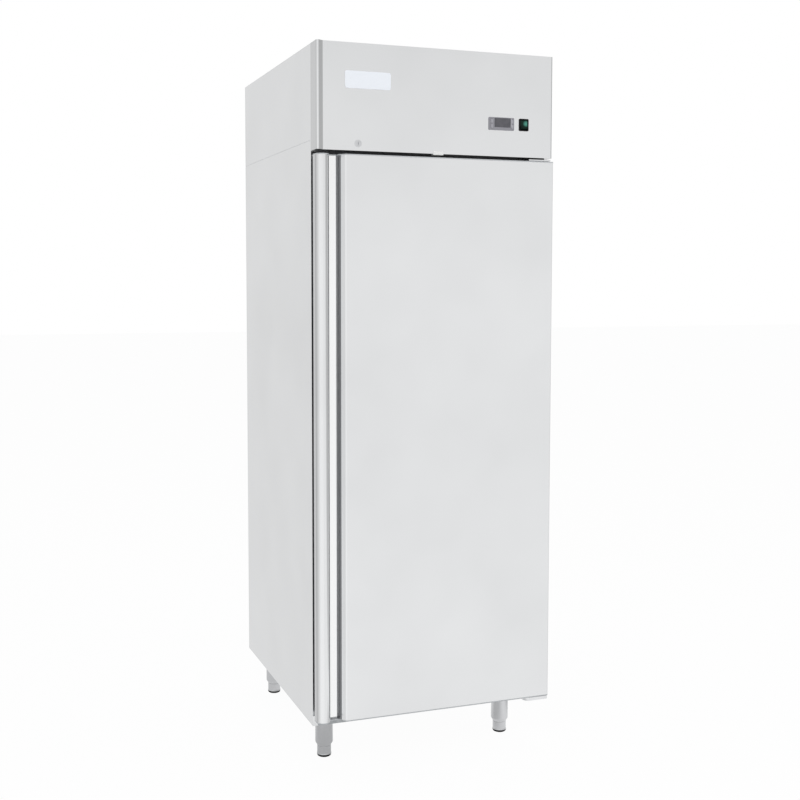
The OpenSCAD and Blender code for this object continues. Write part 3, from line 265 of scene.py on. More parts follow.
steel = brushed_sheet("satin_stainless", "#e6e7e8", "#eeeff0", 0.16)
leg_steel = brushed_sheet("drawn_stainless_tube", "#c9cacc", "#d5d6d8", 0.24)
inner_steel = brushed_sheet("satin_stainless_liner", "#cfd1d3", "#dddee0", 0.30, (0.02, 1, 1))
# Painted highlight: a near-white strip for the bright reflection on the floor of the grip groove
painted_highlight_strip = plated_metal("rolled_strip_painted_highlight", "#fafbfb", "#ffffff", 0.1)
bracket_steel = plated_metal("bright_plated_bracket", "#e4e5e7", "#f0f1f2", 0.2)
# Painted shade: a dark strip for the shaded wall of the door's grip groove
painted_shade_strip = plated_metal("rolled_strip_painted_shade", "#838486", "#939496", 0.3)
# Painted shade: a darker copy of the body's brushed steel, for faces that look sideways
painted_side_shade_steel = brushed_sheet("brushed_stainless_painted_side_shade", "#cfd0d1", "#d7d8d9", 0.2)
zinc = galvanised_sheet()
plate_metal = plated_metal("zinc_plated_bracket", "#b4b6b9", "#cacccf", 0.34)
wire_metal = plated_metal("bright_drawn_wire", "#c3c5c8", "#dcdee0", 0.24)
chrome = plated_metal("plated_lock", "#d2d3d5", "#e4e5e7", 0.2)
fins_metal = plated_metal("aluminium_fins", "#b4bac0", "#ccd2d6", 0.36)
dark_fins = plated_metal("coated_fins", "#3a3d40", "#4c5054", 0.5, 0.6)
copper = plated_metal("drawn_copper", "#b0683f", "#cf8d5f", 0.3)
black_paint = painted_steel("stoved_black_paint", "#121315", "#1c1e20", 0.4)
motor_paint = painted_steel("stoved_grey_paint", "#2c2f33", "#3a3e43", 0.42)
grey_abs = moulded_plastic("grey_abs", "#88878d", "#98979d", 0.42)
# Painted highlight: a light grey moulding for the bright line beside the controller's window
highlight_abs = moulded_plastic("light_grey_abs_painted_highlight", "#c2c0c5", "#cccacf", 0.4)
frame_pvc = moulded_plastic("dark_extruded_pvc", "#48484a", "#58585b", 0.5)
cap_abs = moulded_plastic("cap_abs", "#b9bcbe", "#c7c9cb", 0.45)
white_abs = moulded_plastic("white_abs", "#e9e9e7", "#f2f2f0", 0.38)
cooler_abs = moulded_plastic("cooler_abs", "#dfe1e3", "#e9ebec", 0.34, 1.2)
badge_abs = moulded_plastic("blank_plate_abs", "#eef2f8", "#f6f9fd", 0.25, 2.0, 0.005)
black_abs = moulded_plastic("black_nylon", "#0c0c0d", "#171718", 0.4, gloss=0.12)
button_abs = moulded_plastic("soft_grey_button", "#a09fa5", "#aeadb3", 0.5)
box_abs = moulded_plastic("box_abs", "#c8cac8", "#d6d8d6", 0.48, 1.0)
window_glass = clear_moulding("tinted_window", "#4a494f", "#545359", 0.14)
rocker_mid = [(a + b) * 500 for a, b in zip(*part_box("rocker"))]
rocker_lens = clear_moulding("green_rocker_lens", "#03120d", "#0a281e", 0.15, 0.12, (
    "#4a8c7c", (rocker_mid[0] + 6.5, rocker_mid[1], rocker_mid[2] + 3), 3, 10))
pad_rubber = moulded_plastic("black_rubber_pad", "#151515", "#242424", 0.7, gloss=0.25)
gasket = soft_rubber()
foam = rigid_foam()

finish_of_slot = {
    "steel": steel, "galvanised": zinc, "foam": foam, "frame_pvc": frame_pvc, "liner": inner_steel,
    "badge_blank": badge_abs, "grey_plastic": grey_abs, "dark_window": window_glass,
    "button_rubber": button_abs, "black_plastic": black_abs, "green_lens": rocker_lens,
    "chrome_lock": chrome, "white_plastic": white_abs, "grey_cap": cap_abs,
    "gasket_rubber": gasket, "hinge_steel": plate_metal, "leg_steel": leg_steel,
    "rack_steel": wire_metal, "fin_aluminium": fins_metal, "cooler_abs": cooler_abs,
    "motor_metal": motor_paint, "compressor_paint": black_paint, "dark_fins": dark_fins,
    "copper": copper, "box_plastic": box_abs,
}
for node_name, node_object in frame["nodes"].items():
    node_object.data.materials.clear()
    node_object.data.materials.append(finish_of_slot[slot_of_node[node_name]])


# ---- mesh helpers ----

def link_mesh(name, mesh, *materials):
    obj = bpy.data.objects.new(name, mesh)
    for material in materials:
        mesh.materials.append(material)
    scene.collection.objects.link(obj)
    return obj


def mesh_from(name, verts, faces, *materials):
    mesh = bpy.data.meshes.new(name)
    mesh.from_pydata(verts, [], faces)
    mesh.validate()
    return link_mesh(name, mesh, *materials)


def set_modifier(obj, kind, **settings):
    modifier = obj.modifiers.new(kind.lower(), kind)
    for key, value in settings.items():
        setattr(modifier, key, value)
    return modifier


def bake_modifiers(obj):
    """Replaces the object's mesh by what its modifiers make of it"""
    deps = bpy.context.evaluated_depsgraph_get()
    mesh = bpy.data.meshes.new_from_object(obj.evaluated_get(deps), depsgraph=deps)
    obj.modifiers.clear()
    old = obj.data
    obj.data = mesh
    mesh.name = obj.name
    if old.users == 0:
        bpy.data.meshes.remove(old)
    return obj


def smooth(obj, angle=30):
    """Smooth shading that breaks at edges sharper than the angle, with flat faces kept flat"""
    obj.data.shade_smooth()
    obj.data.set_sharp_from_angle(angle=math.radians(angle))
    set_modifier(obj, "WEIGHTED_NORMAL", keep_sharp=True)
    return bake_modifiers(obj)


def soften(obj, width_mm, angle=35, segments=2):
    """Rounds the edges sharper than the angle"""
    set_modifier(obj, "BEVEL", width=width_mm * MM, segments=segments, limit_method="ANGLE",
                 angle_limit=math.radians(angle), harden_normals=False, use_clamp_overlap=True)
    return bake_modifiers(obj)


def outwards(obj):
    work = bmesh.new()
    work.from_mesh(obj.data)
    bmesh.ops.remove_doubles(work, verts=work.verts, dist=1e-6)
    bmesh.ops.recalc_face_normals(work, faces=work.faces)
    work.to_mesh(obj.data)
    work.free()
    return obj


def belong(obj, body, *nodes, slot=None):
    """The piece rides on its body and stands for the named nodes"""
    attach(obj, body)
    if nodes:
        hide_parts(*nodes)
    return obj


def dressed(name, node, material=None, edge_mm=0.0, angle=30, segments=2):
    """A merged copy of a node's shape, with its small edge rounds and smooth curves"""
    mesh = frame["nodes"][node].data.copy()
    mesh.materials.clear()
    obj = link_mesh(name, mesh, material or finish_of_slot[slot_of_node[node]])
    work = bmesh.new()
    work.from_mesh(mesh)
    bmesh.ops.remove_doubles(work, verts=work.verts, dist=1e-6)
    bmesh.ops.dissolve_limit(work, angle_limit=math.radians(1), verts=work.verts,
                             edges=work.edges)
    work.to_mesh(mesh)
    work.free()
    if edge_mm:
        soften(obj, edge_mm, max(angle, 35), segments)
    smooth(obj, angle)
    return belong(obj, body_of_node[node], node)


def arc(centre, radius, start, end, steps):
    """Points of an arc in a plane, angles in degrees"""
    return [(centre[0] + radius * math.cos(math.radians(start + (end - start) * k / steps)),
             centre[1] + radius * math.sin(math.radians(start + (end - start) * k / steps)))
            for k in range(steps + 1)]


def round_box_path(half_w, half_h, radius, steps=6):
    corners = ((1, 1, 0), (-1, 1, 90), (-1, -1, 180), (1, -1, 270))
    path = []
    for sx, sy, start in corners:
        path += arc((sx * (half_w - radius), sy * (half_h - radius)), radius, start, start + 90,
                    steps)
    return path


def prism(name, outline, start, end, place, material):
    """A closed outline drawn out between two levels; place(u, v, level) gives each point"""
    n = len(outline)
    verts = [place(u, v, level) for level in (start, end) for u, v in outline]
    faces = [list(range(n)), list(range(2 * n - 1, n - 1, -1))]
    faces += [[k, (k + 1) % n, n + (k + 1) % n, n + k] for k in range(n)]
    return outwards(mesh_from(name, verts, faces, material))


def ribbon(name, path, z0, z1, material, wall=SHEET, side=-1):
    """An open path in plan, drawn upwards and given the thickness of its sheet"""
    n = len(path)
    verts = [(x, y, z) for z in (z0, z1) for x, y in path]
    faces = [[k, k + 1, n + k + 1, n + k] for k in range(n - 1)]
    obj = mesh_from(name, verts, faces, material)
    set_modifier(obj, "SOLIDIFY", thickness=wall, offset=side, use_even_offset=True)
    return outwards(bake_modifiers(obj))


def lathe(name, profile, centre, material, steps=64, axis="Z"):
    """A profile of (radius, height) turned round an axis, closed where it meets the axis"""
    verts, faces, rings = [], [], []
    for r, h in profile:
        if r < 1e-7:
            rings.append([len(verts)])
            verts.append((0, 0, h))
        else:
            rings.append(list(range(len(verts), len(verts) + steps)))
            verts += [(r * math.cos(math.tau * k / steps), r * math.sin(math.tau * k / steps), h)
                      for k in range(steps)]
    for a, b in zip(rings, rings[1:]):
        for k in range(steps):
            m = (k + 1) % steps
            if len(a) == 1 and len(b) > 1:
                faces.append([a[0], b[m], b[k]])
            elif len(b) == 1 and len(a) > 1:
                faces.append([a[k], a[m], b[0]])
            elif len(a) > 1:
                faces.append([a[k], a[m], b[m], b[k]])
    if axis == "Y":
        verts = [(x, h, -y) for x, y, h in verts]
    verts = [(x + centre[0], y + centre[1], z + centre[2]) for x, y, z in verts]
    return outwards(mesh_from(name, verts, faces, material))


def joined(name, *objects):
    """One piece from several meshes, each face keeping its material"""
    materials = []
    for obj in objects:
        for material in obj.data.materials:
            if material not in materials:
                materials.append(material)
    work = bmesh.new()
    for obj in objects:
        own = [materials.index(m) for m in obj.data.materials]
        start = len(work.faces)
        work.from_mesh(obj.data)
        work.faces.ensure_lookup_table()
        for face in work.faces[start:]:
            face.material_index = own[face.material_index]
    mesh = bpy.data.meshes.new(name)
    work.to_mesh(mesh)
    work.free()
    for obj in objects:
        bpy.data.objects.remove(obj, do_unlink=True)
    return link_mesh(name, mesh, *materials)


# ---- geometry node trees for what repeats ----

def group_tree(name, inputs):
    tree = bpy.data.node_groups.new(name, "GeometryNodeTree")
    tree.interface.new_socket("Geometry", in_out="INPUT", socket_type="NodeSocketGeometry")
    for label, kind, value in inputs:
        socket = tree.interface.new_socket(label, in_out="INPUT", socket_type=kind)
        if value is not None:
            socket.default_value = value
    tree.interface.new_socket("Geometry", in_out="OUTPUT", socket_type="NodeSocketGeometry")
    return tree, tree.nodes.new("NodeGroupInput"), tree.nodes.new("NodeGroupOutput")


def finish_tree(tree, source, given, out):
    solid = add_node(tree, "GeometryNodeRealizeInstances", {"Geometry": source})
    painted = add_node(tree, "GeometryNodeSetMaterial",
                       {"Geometry": solid.outputs[0], "Material": given.outputs["Material"]})
    tree.links.new(painted.outputs[0], out.inputs["Geometry"])
    return tree


def row_tree():
    """Repeats the object's own mesh along a straight line"""
    tree, given, out = group_tree("Row", [
        ("Count", "NodeSocketInt", 2), ("Start", "NodeSocketVector", None),
        ("Step", "NodeSocketVector", None), ("Material", "NodeSocketMaterial", None)])
    line = add_node(tree, "GeometryNodeMeshLine",
                    {"Count": given.outputs["Count"], "Start Location": given.outputs["Start"],
                     "Offset": given.outputs["Step"]})
    copies = add_node(tree, "GeometryNodeInstanceOnPoints",
                      {"Points": line.outputs[0], "Instance": given.outputs["Geometry"]})
    return finish_tree(tree, copies.outputs[0], given, out)


def round_tree():
    """Repeats the object's own mesh by turning it about an upright axis through the origin"""
    tree, given, out = group_tree("Round", [
        ("Count", "NodeSocketInt", 3), ("Centre", "NodeSocketVector", None),
        ("Turn", "NodeSocketVector", None), ("Material", "NodeSocketMaterial", None)])
    line = add_node(tree, "GeometryNodeMeshLine",
                    {"Count": given.outputs["Count"], "Start Location": given.outputs["Centre"]},
                    {"Offset": (0, 0, 0)})
    number = add_node(tree, "GeometryNodeInputIndex")
    turn = add_node(tree, "ShaderNodeVectorMath", {0: given.outputs["Turn"], "Scale":
                    number.outputs[0]}, operation="SCALE")
    copies = add_node(tree, "GeometryNodeInstanceOnPoints",
                      {"Points": line.outputs[0], "Instance": given.outputs["Geometry"],
                       "Rotation": turn.outputs[0]})
    return finish_tree(tree, copies.outputs[0], given, out)


ROW, ROUND = row_tree(), round_tree()


def repeat(obj, tree, **inputs):
    """Runs a tree on the object with its named inputs, and keeps the result as a plain mesh"""
    modifier = obj.modifiers.new(tree.name, "NODES")
    modifier.node_group = tree
    names = {item.name: item.identifier for item in tree.interface.items_tree
             if item.in_out == "INPUT"}
    inputs["Material"] = obj.data.materials[0]
    for label, value in inputs.items():
        modifier[names[label.replace("_", " ")]] = value
    obj.update_tag()
    return bake_modifiers(obj)


def rod(name, a, b, radius, material, steps=16):
    """A round rod between two points"""
    a, b = Vector(a), Vector(b)
    along = (b - a).normalized()
    turn = along.to_track_quat("Z", "Y").to_matrix().to_4x4()
    work = bmesh.new()
    bmesh.ops.create_cone(work, cap_ends=True, segments=steps, radius1=radius, radius2=radius,
                          depth=(b - a).length,
                          matrix=Matrix.Translation((a + b) / 2) @ turn)
    mesh = bpy.data.meshes.new(name)
    work.to_mesh(mesh)
    work.free()
    return link_mesh(name, mesh, material)


def tube_along(name, path, radius, material, closed=False, steps=16):
    """A round bar that follows a list of points"""
    curve = bpy.data.curves.new(name, "CURVE")
    curve.dimensions = "3D"
    curve.bevel_depth = radius
    curve.bevel_resolution = steps // 4
    curve.use_fill_caps = True
    spline = curve.splines.new("POLY")
    spline.points.add(len(path) - 1)
    for point, place in zip(spline.points, path):
        point.co = (*place, 1)
    spline.use_cyclic_u = closed
    holder = bpy.data.objects.new(name, curve)
    scene.collection.objects.link(holder)
    deps = bpy.context.evaluated_depsgraph_get()
    mesh = bpy.data.meshes.new_from_object(holder.evaluated_get(deps), depsgraph=deps)
    bpy.data.objects.remove(holder, do_unlink=True)
    mesh.materials.clear()
    return outwards(link_mesh(name, mesh, material))


def screw_head(name, radius, height, material=plate_metal):
    """A pan head with a cross recess, standing on z = 0"""
    profile = [(0, 0), (radius, 0)] + [(radius * math.cos(a), height * math.sin(a))
                                       for a in (0.35, 0.7, 1.05, 1.35)]
    obj = lathe(name, profile + [(0, height)], (0, 0, 0), material, 20)
    cut = 0.16 * radius
    bars = [prism(name + "_bar", [(-w, -h), (w, -h), (w, h), (-w, h)], height * 0.45, height * 2,
                  lambda u, v, level: (u, v, level), material)
            for w, h in ((cut, radius * 0.55), (radius * 0.55, cut))]
    for bar in bars:
        set_modifier(obj, "BOOLEAN", object=bar, operation="DIFFERENCE", solver="EXACT")
        bake_modifiers(obj)
        bpy.data.objects.remove(bar, do_unlink=True)
    return smooth(outwards(obj), 40)


def facing(obj, direction, place=(0, 0, 0)):
    """Turns a piece that was made facing up, and sets it down, in its mesh"""
    turn = Vector(direction).to_track_quat("Z", "Y").to_matrix().to_4x4()
    obj.data.transform(Matrix.Translation(place) @ turn)
    return obj


# ---- door ----

def paint_side_shade(obj):
    """Paints shade on the faces that look sideways: they take a darker copy of the brushed steel"""
    obj.data.materials.append(painted_side_shade_steel)
    last = len(obj.data.materials) - 1
    for face in obj.data.polygons:
        if abs(face.normal.x) > 0.95:
            face.material_index = last
    return obj


def bent(points, steps=6):
    """A path through (x, y, radius) points, with each corner rounded to its bend radius"""
    path = [points[0][:2]]
    for before, (x, y, radius), after in zip(points, points[1:], points[2:]):
        corner = Vector((x, y))
        back = (Vector(before[:2]) - corner).normalized()
        ahead = (Vector(after[:2]) - corner).normalized()
        half = back.angle(ahead) / 2
        centre = corner + (back + ahead).normalized() * radius / math.sin(half)
        first = corner + back * radius / math.tan(half) - centre
        turn = (corner + ahead * radius / math.tan(half) - centre).angle_signed(first)
        for k in range(steps + 1):
            path.append(tuple(centre + Matrix.Rotation(turn * k / steps, 2) @ first))
    return path + [points[-1][:2]]


def door_path():
    """Plan of the door's outer sheet, from its back edge at the left round to the right: nose,
    groove, leaning wall, slope and face"""
    x0, y0 = -CAB_X, FACE_Y
    back_y = y0 + PAN_D
    groove_x = x0 + 2 * NOSE_R + GROOVE_W
    bend_x = groove_x + (GROOVE_D - SLOPE_D) * math.tan(WALL_LEAN)
    face_x = bend_x + SLOPE_D / math.tan(SLOPE_ANGLE)
    edge = 1.5 * MM
    left = bent([(x0 + 16 * MM, back_y, 0), (x0, back_y, edge), (x0, y0 + NOSE_R, 0)])
    nose = arc((x0 + NOSE_R, y0 + NOSE_R), NOSE_R, 180, 360, 56)
    right = bent([nose[-1] + (0,), (nose[-1][0], y0 + GROOVE_D, 2.5 * MM),
                  (groove_x, y0 + GROOVE_D, 2.5 * MM), (bend_x, y0 + SLOPE_D, 4 * MM),
                  (face_x, y0, 7 * MM), (CAB_X, y0, edge), (CAB_X, back_y, edge),
                  (CAB_X - 16 * MM, back_y, 0)])
    return left[:-1] + nose + right[1:]


def make_door():
    z0, z1 = skin_low[2], skin_high[2]
    skin = ribbon("door_outer_sheet", door_path(), z0, z1, steel)
    # Painted shade on the sheet's faces that look sideways
    paint_side_shade(skin)
    belong(smooth(skin, 35), "door", "door_skin")
    x0, y0 = -CAB_X + 2 * NOSE_R + 1.5 * MM, FACE_Y + GROOVE_D
    # Painted highlight: a near-white strip on the groove's floor, where the groove shows a bright
    # reflection
    groove_highlight = prism("groove_painted_highlight", [(x0, y0 - 0.8 * MM), (x0 + GROOVE_W - 3 * MM, y0 - 0.8 * MM),
                                   (x0 + GROOVE_W - 3 * MM, y0 - 0.05 * MM),
                                   (x0, y0 - 0.05 * MM)],
                  z0 + 0.5 * MM, z1 - 0.5 * MM, lambda u, v, level: (u, v, level), painted_highlight_strip)
    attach(groove_highlight, "door")
    lean, slope = math.tan(WALL_LEAN), math.tan(SLOPE_ANGLE)
    foot = -CAB_X + 2 * NOSE_R + GROOVE_W - 0.2 * MM
    bend = foot + (GROOVE_D - SLOPE_D) * lean
    # Painted shade: a dark strip over the groove's leaning wall, where the wall is in shade
    wall = ribbon("groove_wall_painted_shade", bent([(foot, FACE_Y + GROOVE_D - 1 * MM, 0),
                                            (bend, FACE_Y + SLOPE_D, 4 * MM),
                                            (bend + 4 * MM, FACE_Y + SLOPE_D - 4 * slope * MM, 0)]),
                  z0 + 0.5 * MM, z1 - 0.5 * MM, painted_shade_strip, 0.6 * MM)
    wall.data.transform(Matrix.Translation((-0.5 * MM, -0.5 * MM, 0)))
    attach(smooth(wall, 35), "door")
    dressed("door_end_cap_top", "door_cap_top", edge_mm=0.5)
    dressed("door_end_cap_bottom", "door_cap_bottom", edge_mm=0.6)
    dressed("door_inner_tray", "door_liner", inner_steel, edge_mm=4.0, segments=4)
    dressed("hinge_bush_pair", "hinge_bushes", edge_mm=0.4)


def make_gasket():
    """Hollow gasket in one mitred ring: foot, bellows fold and the magnet's flat lip"""
    a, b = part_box("door_gasket")
    deep = b[1] - a[1]
    section = [(3, 0), (3, deep * 0.2 / MM), (0.4, deep * 0.35 / MM), (1.8, deep * 0.5 / MM),
               (0.2, deep * 0.62 / MM), (0, deep / MM - 0.8), (0.8, deep / MM),
               (19.2, deep / MM), (20, deep / MM - 0.8), (20, deep / MM * 0.68),
               (17.5, deep / MM * 0.5), (18.5, deep / MM * 0.3), (16.5, 0)]
    n = len(section)
    verts, faces = [], []
    for sx, sz in ((-1, 0), (1, 0), (1, 1), (-1, 1)):
        for inset, depth in section:
            x = b[0] - inset * MM
            z = a[2] + inset * MM if sz == 0 else b[2] - inset * MM
            verts.append((sx * x, a[1] + depth * MM, z))
    for c in range(4):
        for k in range(n):
            m = (k + 1) % n
            d = (c + 1) % 4
            faces.append([c * n + k, d * n + k, d * n + m, c * n + m])
    ring = outwards(mesh_from("door_gasket_ring", verts, faces, gasket))
    belong(smooth(ring, 40), "door", "door_gasket")


# ---- machine compartment ----

def make_header():
    # The bevel beside each upright corner stays crisp, and the arc before it smooth. The faces that
    # look sideways get painted shade
    paint_side_shade(dressed("header_panel", "header_front", angle=14))
    dressed("header_cover", "header_lid", edge_mm=0.4)
    for side in ("left", "right"):
        dressed("header_cheek_" + side, "header_side_" + side, edge_mm=0.4)
    dressed("badge_blank", "badge_plate", edge_mm=0.5, segments=3)
    # Painted shade: thin dark strips of the gasket's PVC on the cabinet's two front edges, in the gap
    # over the door, where the gap is in shadow
    low_z, high_z = skin_high[2] + 1 * MM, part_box("header_front")[0][2] - 0.3 * MM
    gap_shade_strips = []
    for side in (-1, 1):
        a, b = side * (CAB_X - 15.5 * MM), side * (CAB_X - 0.3 * MM)
        gap_shade_strips.append(prism("gap_shade_strip", [(a, low_z), (b, low_z), (b, high_z), (a, high_z)],
                           FRONT_Y - 0.4 * MM, FRONT_Y - 0.05 * MM,
                           lambda u, v, level: (u, level, v), gasket))
    gap_shade_strip = joined("header_gap_painted_shade", *gap_shade_strips)
    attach(gap_shade_strip, "cabinet")


def make_controls():
    dressed("controller_bezel", "controller_body", edge_mm=0.4)
    dressed("controller_display", "controller_window", edge_mm=0.3)
    a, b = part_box("controller_window")
    # Painted highlight: a light grey strip beside the window for the bright line of light along its
    # edge
    edge_highlight = prism("controller_painted_highlight", [(b[0] + 0.3 * MM, a[2]), (b[0] + 2 * MM, a[2]),
                                   (b[0] + 2 * MM, b[2]), (b[0] + 0.3 * MM, b[2])],
                a[1] - 0.5 * MM, a[1] + 0.02 * MM, lambda u, v, level: (u, level, v), highlight_abs)
    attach(soften(edge_highlight, 0.2), body_of_node["controller_body"])
    for name in ("set", "light", "up", "down"):
        dressed("key_" + name, "button_" + name, edge_mm=0.5)
    dressed("switch_bezel", "switch_frame", edge_mm=0.5)
    dressed("switch_rocker", "rocker", edge_mm=0.4, angle=20)
    dressed("lock_body", "lock_housing", edge_mm=0.3)
    dressed("lock_plug", "lock_barrel", edge_mm=0.3)
    dressed("door_reed_sensor", "door_sensor", edge_mm=0.4)


# ---- cabinet ----

def make_cabinet():
    for side in ("left", "right"):
        dressed("cabinet_side_" + side, "side_panel_" + side, edge_mm=0.4)
    dressed("cavity_liner", "inner_liner", inner_steel, angle=30)
    for end in ("top", "bottom"):
        dressed(end + "_hinge_bracket", end + "_hinge", bracket_steel, edge_mm=0.8)


# ---- legs ----

def make_legs():
    a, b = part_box("leg_tubes")
    top = b[2]
    tube_r, foot_r = 25.4 * MM, 20 * MM
    stem = 8 * MM
    tubes = []
    for name in CORNERS:
        fa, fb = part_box("foot_" + name)
        x, y = (fa[0] + fb[0]) / 2, (fa[1] + fb[1]) / 2
        base = a[2]
        wall = 1.5 * MM
        profile = [(stem + 0.05 * MM, base), (foot_r + 0.1 * MM, base),
                   (foot_r + 0.6 * MM, base + 0.9 * MM)]
        profile += [(foot_r + 0.6 * MM + (tube_r - foot_r - 0.6 * MM) * (0.5 - 0.5 * math.cos(t)),
                     base + 0.5 * MM + 10.5 * MM * t / math.pi)
                    for t in [math.pi * k / 8 for k in range(1, 9)]]
        profile += [(tube_r, top - 3 * MM), (tube_r - wall, top - 3 * MM),
                    (tube_r - wall, base + 22 * MM), (stem + 0.05 * MM, base + 22 * MM)]
        tube = lathe("tube", profile + profile[:1], (x, y, 0), leg_steel)
        half = b[0] - x if x > 0 else x - a[0]
        plate = prism("plate", round_box_path(half, half, 10 * MM), top - 3 * MM, top,
                      lambda u, v, level: (x + u, y + v, level), leg_steel)
        soften(plate, 0.6)
        tubes += [tube, plate]
        foot = [(0, PAD_H), (foot_r + 0.2 * MM, PAD_H), (foot_r + 0.8 * MM, PAD_H + 0.6 * MM),
                (foot_r + 0.8 * MM, PAD_H + 1.9 * MM), (foot_r + 0.4 * MM, PAD_H + 2.9 * MM),
                (foot_r, PAD_H + 3.9 * MM), (foot_r, 31 * MM), (foot_r - 0.3 * MM, 31.7 * MM),
                (foot_r - 1 * MM, 32 * MM), (stem, 32 * MM), (stem, fb[2]), (0, fb[2])]
        pad = [(0, 0), (foot_r - 3 * MM, 0), (foot_r - 0.8 * MM, 1.5 * MM),
               (foot_r + 0.3 * MM, 4 * MM), (foot_r + 0.3 * MM, PAD_H - 0.3 * MM),
               (0, PAD_H - 0.3 * MM)]
        piece = joined("levelling_foot_" + name, lathe("steel_foot", foot, (x, y, 0), leg_steel),
                       lathe("pad", pad, (x, y, 0), pad_rubber))
        belong(smooth(piece, 25), "foot_" + name, "foot_" + name)
    belong(smooth(joined("leg_set", *tubes), 25), "cabinet", "leg_tubes")


# ---- inside the cabinet ----

def make_shelves():
    """Welded wire shelves: border rod, wires across it and flat bars below"""
    for level in ("bottom", "middle", "top"):
        node = "shelf_" + level
        a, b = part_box(node)
        rod_r, wire_r = 4 * MM, 2.2 * MM
        x1, z = b[0] - rod_r, a[2] + rod_r
        y0, y1 = a[1] + rod_r, b[1] - rod_r
        mid, half = (y0 + y1) / 2, (y1 - y0) / 2
        ring = [(px, mid + py, z) for px, py in round_box_path(x1, half, 20 * MM, 8)]
        border = tube_along("border", ring, rod_r, wire_metal, closed=True)
        count = int(2 * (x1 - rod_r) / WIRE_PITCH)
        wires = rod("wires", (0, y0, z + 0.4 * MM), (0, y1, z + 0.4 * MM), wire_r, wire_metal, 12)
        start = -(count - 1) / 2 * WIRE_PITCH
        repeat(wires, ROW, Count=count, Start=(start, 0, 0), Step=(WIRE_PITCH, 0, 0))
        bar = prism("bars", [(-x1, -4 * MM), (x1, -4 * MM), (x1, 4 * MM), (-x1, 4 * MM)],
                    z - rod_r, z - 0.6 * MM, lambda u, v, level: (u, v, level), wire_metal)
        soften(bar, 0.4)
        step = (b[1] - a[1]) / 4
        repeat(bar, ROW, Count=3, Start=(0, mid - step, 0), Step=(0, step, 0))
        belong(smooth(joined("wire_shelf_" + level, border, wires, bar), 40), "cabinet", node)
    dressed("shelf_upright_set", "shelf_uprights", edge_mm=0.4)
    dressed("shelf_runner_set", "shelf_runners", edge_mm=0.4)


def make_cooling():
    dressed("cooler_housing", "evaporator_cover")
    dressed("cooler_coil", "evaporator_coil")
    dressed("cooler_wheel", "evaporator_fan")
    dressed("cooler_motor", "evaporator_motor", edge_mm=0.5)
    dressed("cooler_tray", "drip_tray", edge_mm=0.5)
    dressed("lamp_diffuser", "interior_lamp", edge_mm=0.3)
    dressed("compressor_shell", "compressor", edge_mm=0.6)
    dressed("unit_coil", "condenser_coil")
    dressed("unit_shroud", "condenser_shroud", edge_mm=0.5)
    dressed("unit_wheel", "condenser_fan")
    dressed("unit_motor", "condenser_motor", edge_mm=0.5)
    dressed("refrigerant_lines", "pipework", angle=50)
    dressed("drier_can", "filter_drier", edge_mm=0.5)
    dressed("wiring_box", "electrical_box", edge_mm=1.0)
    dressed("cord_gland", "cable_gland", edge_mm=0.4)
    dressed("drain_tube", "drain_pipe", edge_mm=0.4)


# ---- screws, rivets and plugs ----

def make_fasteners():
    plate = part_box("leg_tubes")[1][2] - 3 * MM
    ring = 29 * MM
    screws = []
    for name in CORNERS:
        a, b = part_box("foot_" + name)
        screw = facing(screw_head("screw", 3.6 * MM, 2.2 * MM), (0, 0, -1), (ring, ring, 0))
        screws.append(repeat(screw, ROUND, Count=4, Turn=(0, 0, math.pi / 2),
                             Centre=((a[0] + b[0]) / 2, (a[1] + b[1]) / 2, plate)))
    a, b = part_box("bottom_hinge")
    screw = facing(screw_head("screw", 4 * MM, 2 * MM), (0, 0, -1))
    screws.append(repeat(screw, ROW, Count=2, Start=(a[0] + 18 * MM, b[1] - 2 * MM, a[2] + 0.2 * MM),
                         Step=(b[0] - a[0] - 36 * MM, 0, 0)))
    a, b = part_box("header_back")
    for level in (a[2] + 12 * MM, b[2] - 12 * MM):
        screw = facing(screw_head("screw", 4 * MM, 2.2 * MM), (0, 1, 0))
        screws.append(repeat(screw, ROW, Count=4, Start=(a[0] + 20 * MM, b[1], level),
                             Step=((b[0] - a[0] - 40 * MM) / 3, 0, 0)))
    a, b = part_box("back_panel")
    for x in (a[0] + 12 * MM, b[0] - 12 * MM):
        rivet = facing(lathe("rivet", [(0, 0), (3.2 * MM, 0), (3 * MM, 0.5 * MM),
                                       (1.6 * MM, 1.1 * MM), (1.2 * MM, 0.6 * MM),
                                       (0, 0.6 * MM)], (0, 0, 0), plate_metal, 16), (0, 1, 0))
        screws.append(repeat(rivet, ROW, Count=9, Start=(x, b[1], a[2] + 40 * MM),
                             Step=(0, 0, (b[2] - a[2] - 80 * MM) / 8)))
    every = smooth(joined("cabinet_fasteners", *screws), 35)
    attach(every, "cabinet")


make_door()
make_gasket()
make_header()
make_controls()
make_cabinet()
make_legs()
make_shelves()
make_cooling()
make_fasteners()


# ---- floor, backdrop and light ----

